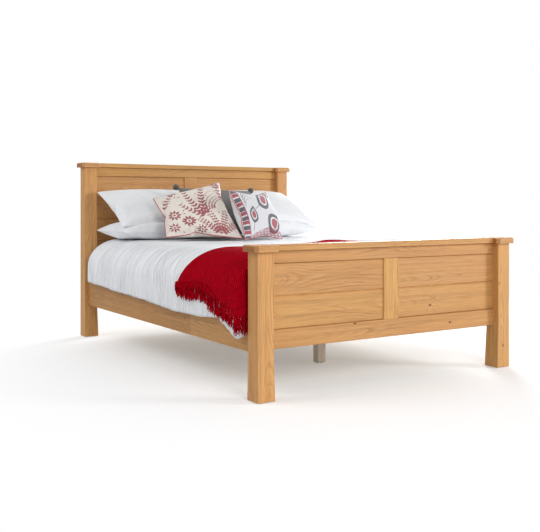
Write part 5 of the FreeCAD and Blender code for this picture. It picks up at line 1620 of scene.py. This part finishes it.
# Each pod starts at a point and has an angle, a length and a width
PODS = [((-0.020, 0.045), 0.50, 0.180, 0.124), ((0.185, 0.120), 2.4, 0.080, 0.060),
        ((0.010, -0.100), 0.28, 0.195, 0.134), ((-0.125, -0.070), 1.25, 0.115, 0.078)]
STRIP_EDGE = -0.170
BAND_PITCH = 0.062


def pods(cloth, shrink):
    """Distance to the pods, or to a smaller pod inside each."""
    nearest = np.full(len(cloth), 1.0)
    for base, angle, length, width in PODS:
        ahead = np.array((math.cos(angle), math.sin(angle)))
        start = np.array(base) + ahead * length * shrink / 2
        nearest = np.minimum(nearest, leaf(cloth, start, angle, length * (1 - shrink),
                                           width * (1 - shrink)))
    return nearest


def dark_print(cloth):
    """Distance to the dark grey: pods, their stalks, dotted arcs and the strip's dark bands."""
    nearest = np.maximum(pods(cloth, 0.0), -pods(cloth, 0.34))
    for base, angle, length, width in PODS:
        back = np.array(base) - 0.05 * np.array((math.cos(angle), math.sin(angle)))
        nearest = np.minimum(nearest, stroke(cloth, back, base, 0.004))
    for index in range(4):
        arc = dotted_arc(cloth, (-0.150, 0.040 + 0.022 * index), 1.35, 0.12 - 0.01 * index, -2.0, 16, 0.0030)
        nearest = np.minimum(nearest, arc)
    band = np.abs((cloth[:, 1] / BAND_PITCH + 0.1) % 1 - 0.5) * BAND_PITCH - 0.013
    strip = np.maximum(cloth[:, 0] - STRIP_EDGE, band)
    return np.minimum(nearest, strip)


def red_print(cloth):
    """Distance to the crimson: the pods' hearts, the strip's red bands and the lower diamonds."""
    nearest = pods(cloth, 0.52)
    band = np.abs((cloth[:, 1] / BAND_PITCH + 0.55) % 1 - 0.5) * BAND_PITCH - 0.011
    nearest = np.minimum(nearest, np.maximum(cloth[:, 0] - STRIP_EDGE, band))
    seam = np.abs(cloth[:, 0] - STRIP_EDGE) - 0.0028
    edge = diamonds(cloth, (0.03, -0.185), (0.21, 0.080), 0.0290)
    return np.minimum(np.minimum(nearest, seam), edge)


patchwork_cotton = linen("patchwork_cotton", "#DADBDE", "#C6C8CB",
                         [("dark_print", "#3E3F45", 0.97), ("red_print", "#9C2038", 0.97)])
patchwork_sheets = sewn_sheets(*PATCHWORK_CLOTH, PRINTED_FACE, seed=23.0)
patchwork_mesh = stuffed("cushion_patchwork", patchwork_sheets, volume=0.0088, firmness=0.9,
                         bending=0.3, levels=2)
patch_places, patch_side = cloth_places(patchwork_mesh)
front = patch_side > 0
for name, drawn in (("dark_print", dark_print), ("red_print", red_print)):
    inked = np.full(len(patch_places), 1.0)
    inked[front] = drawn(patch_places[front])
    put_print(patchwork_mesh, name, inked)
patch_points = place_cover(patchwork_mesh, "cushion_patchwork", PATCHWORK_SIZE, crown=0.055,
                           underside=0.055, turn=pad_turn(lean=24, yaw=27, roll=-2))
cushion_piece("cushion_patchwork_cover", patchwork_mesh, "cushion_patchwork",
              patchwork_cotton, "cushion_patchwork")
coral_piping = linen("coral_piping", "#C4605E", "#A84848")
piping_piece("cushion_patchwork_piping", seam_points(patchwork_mesh, PATCHWORK_CLOTH, patch_points),
             0.0024, "cushion_patchwork", coral_piping)
print("patchwork cushion made")
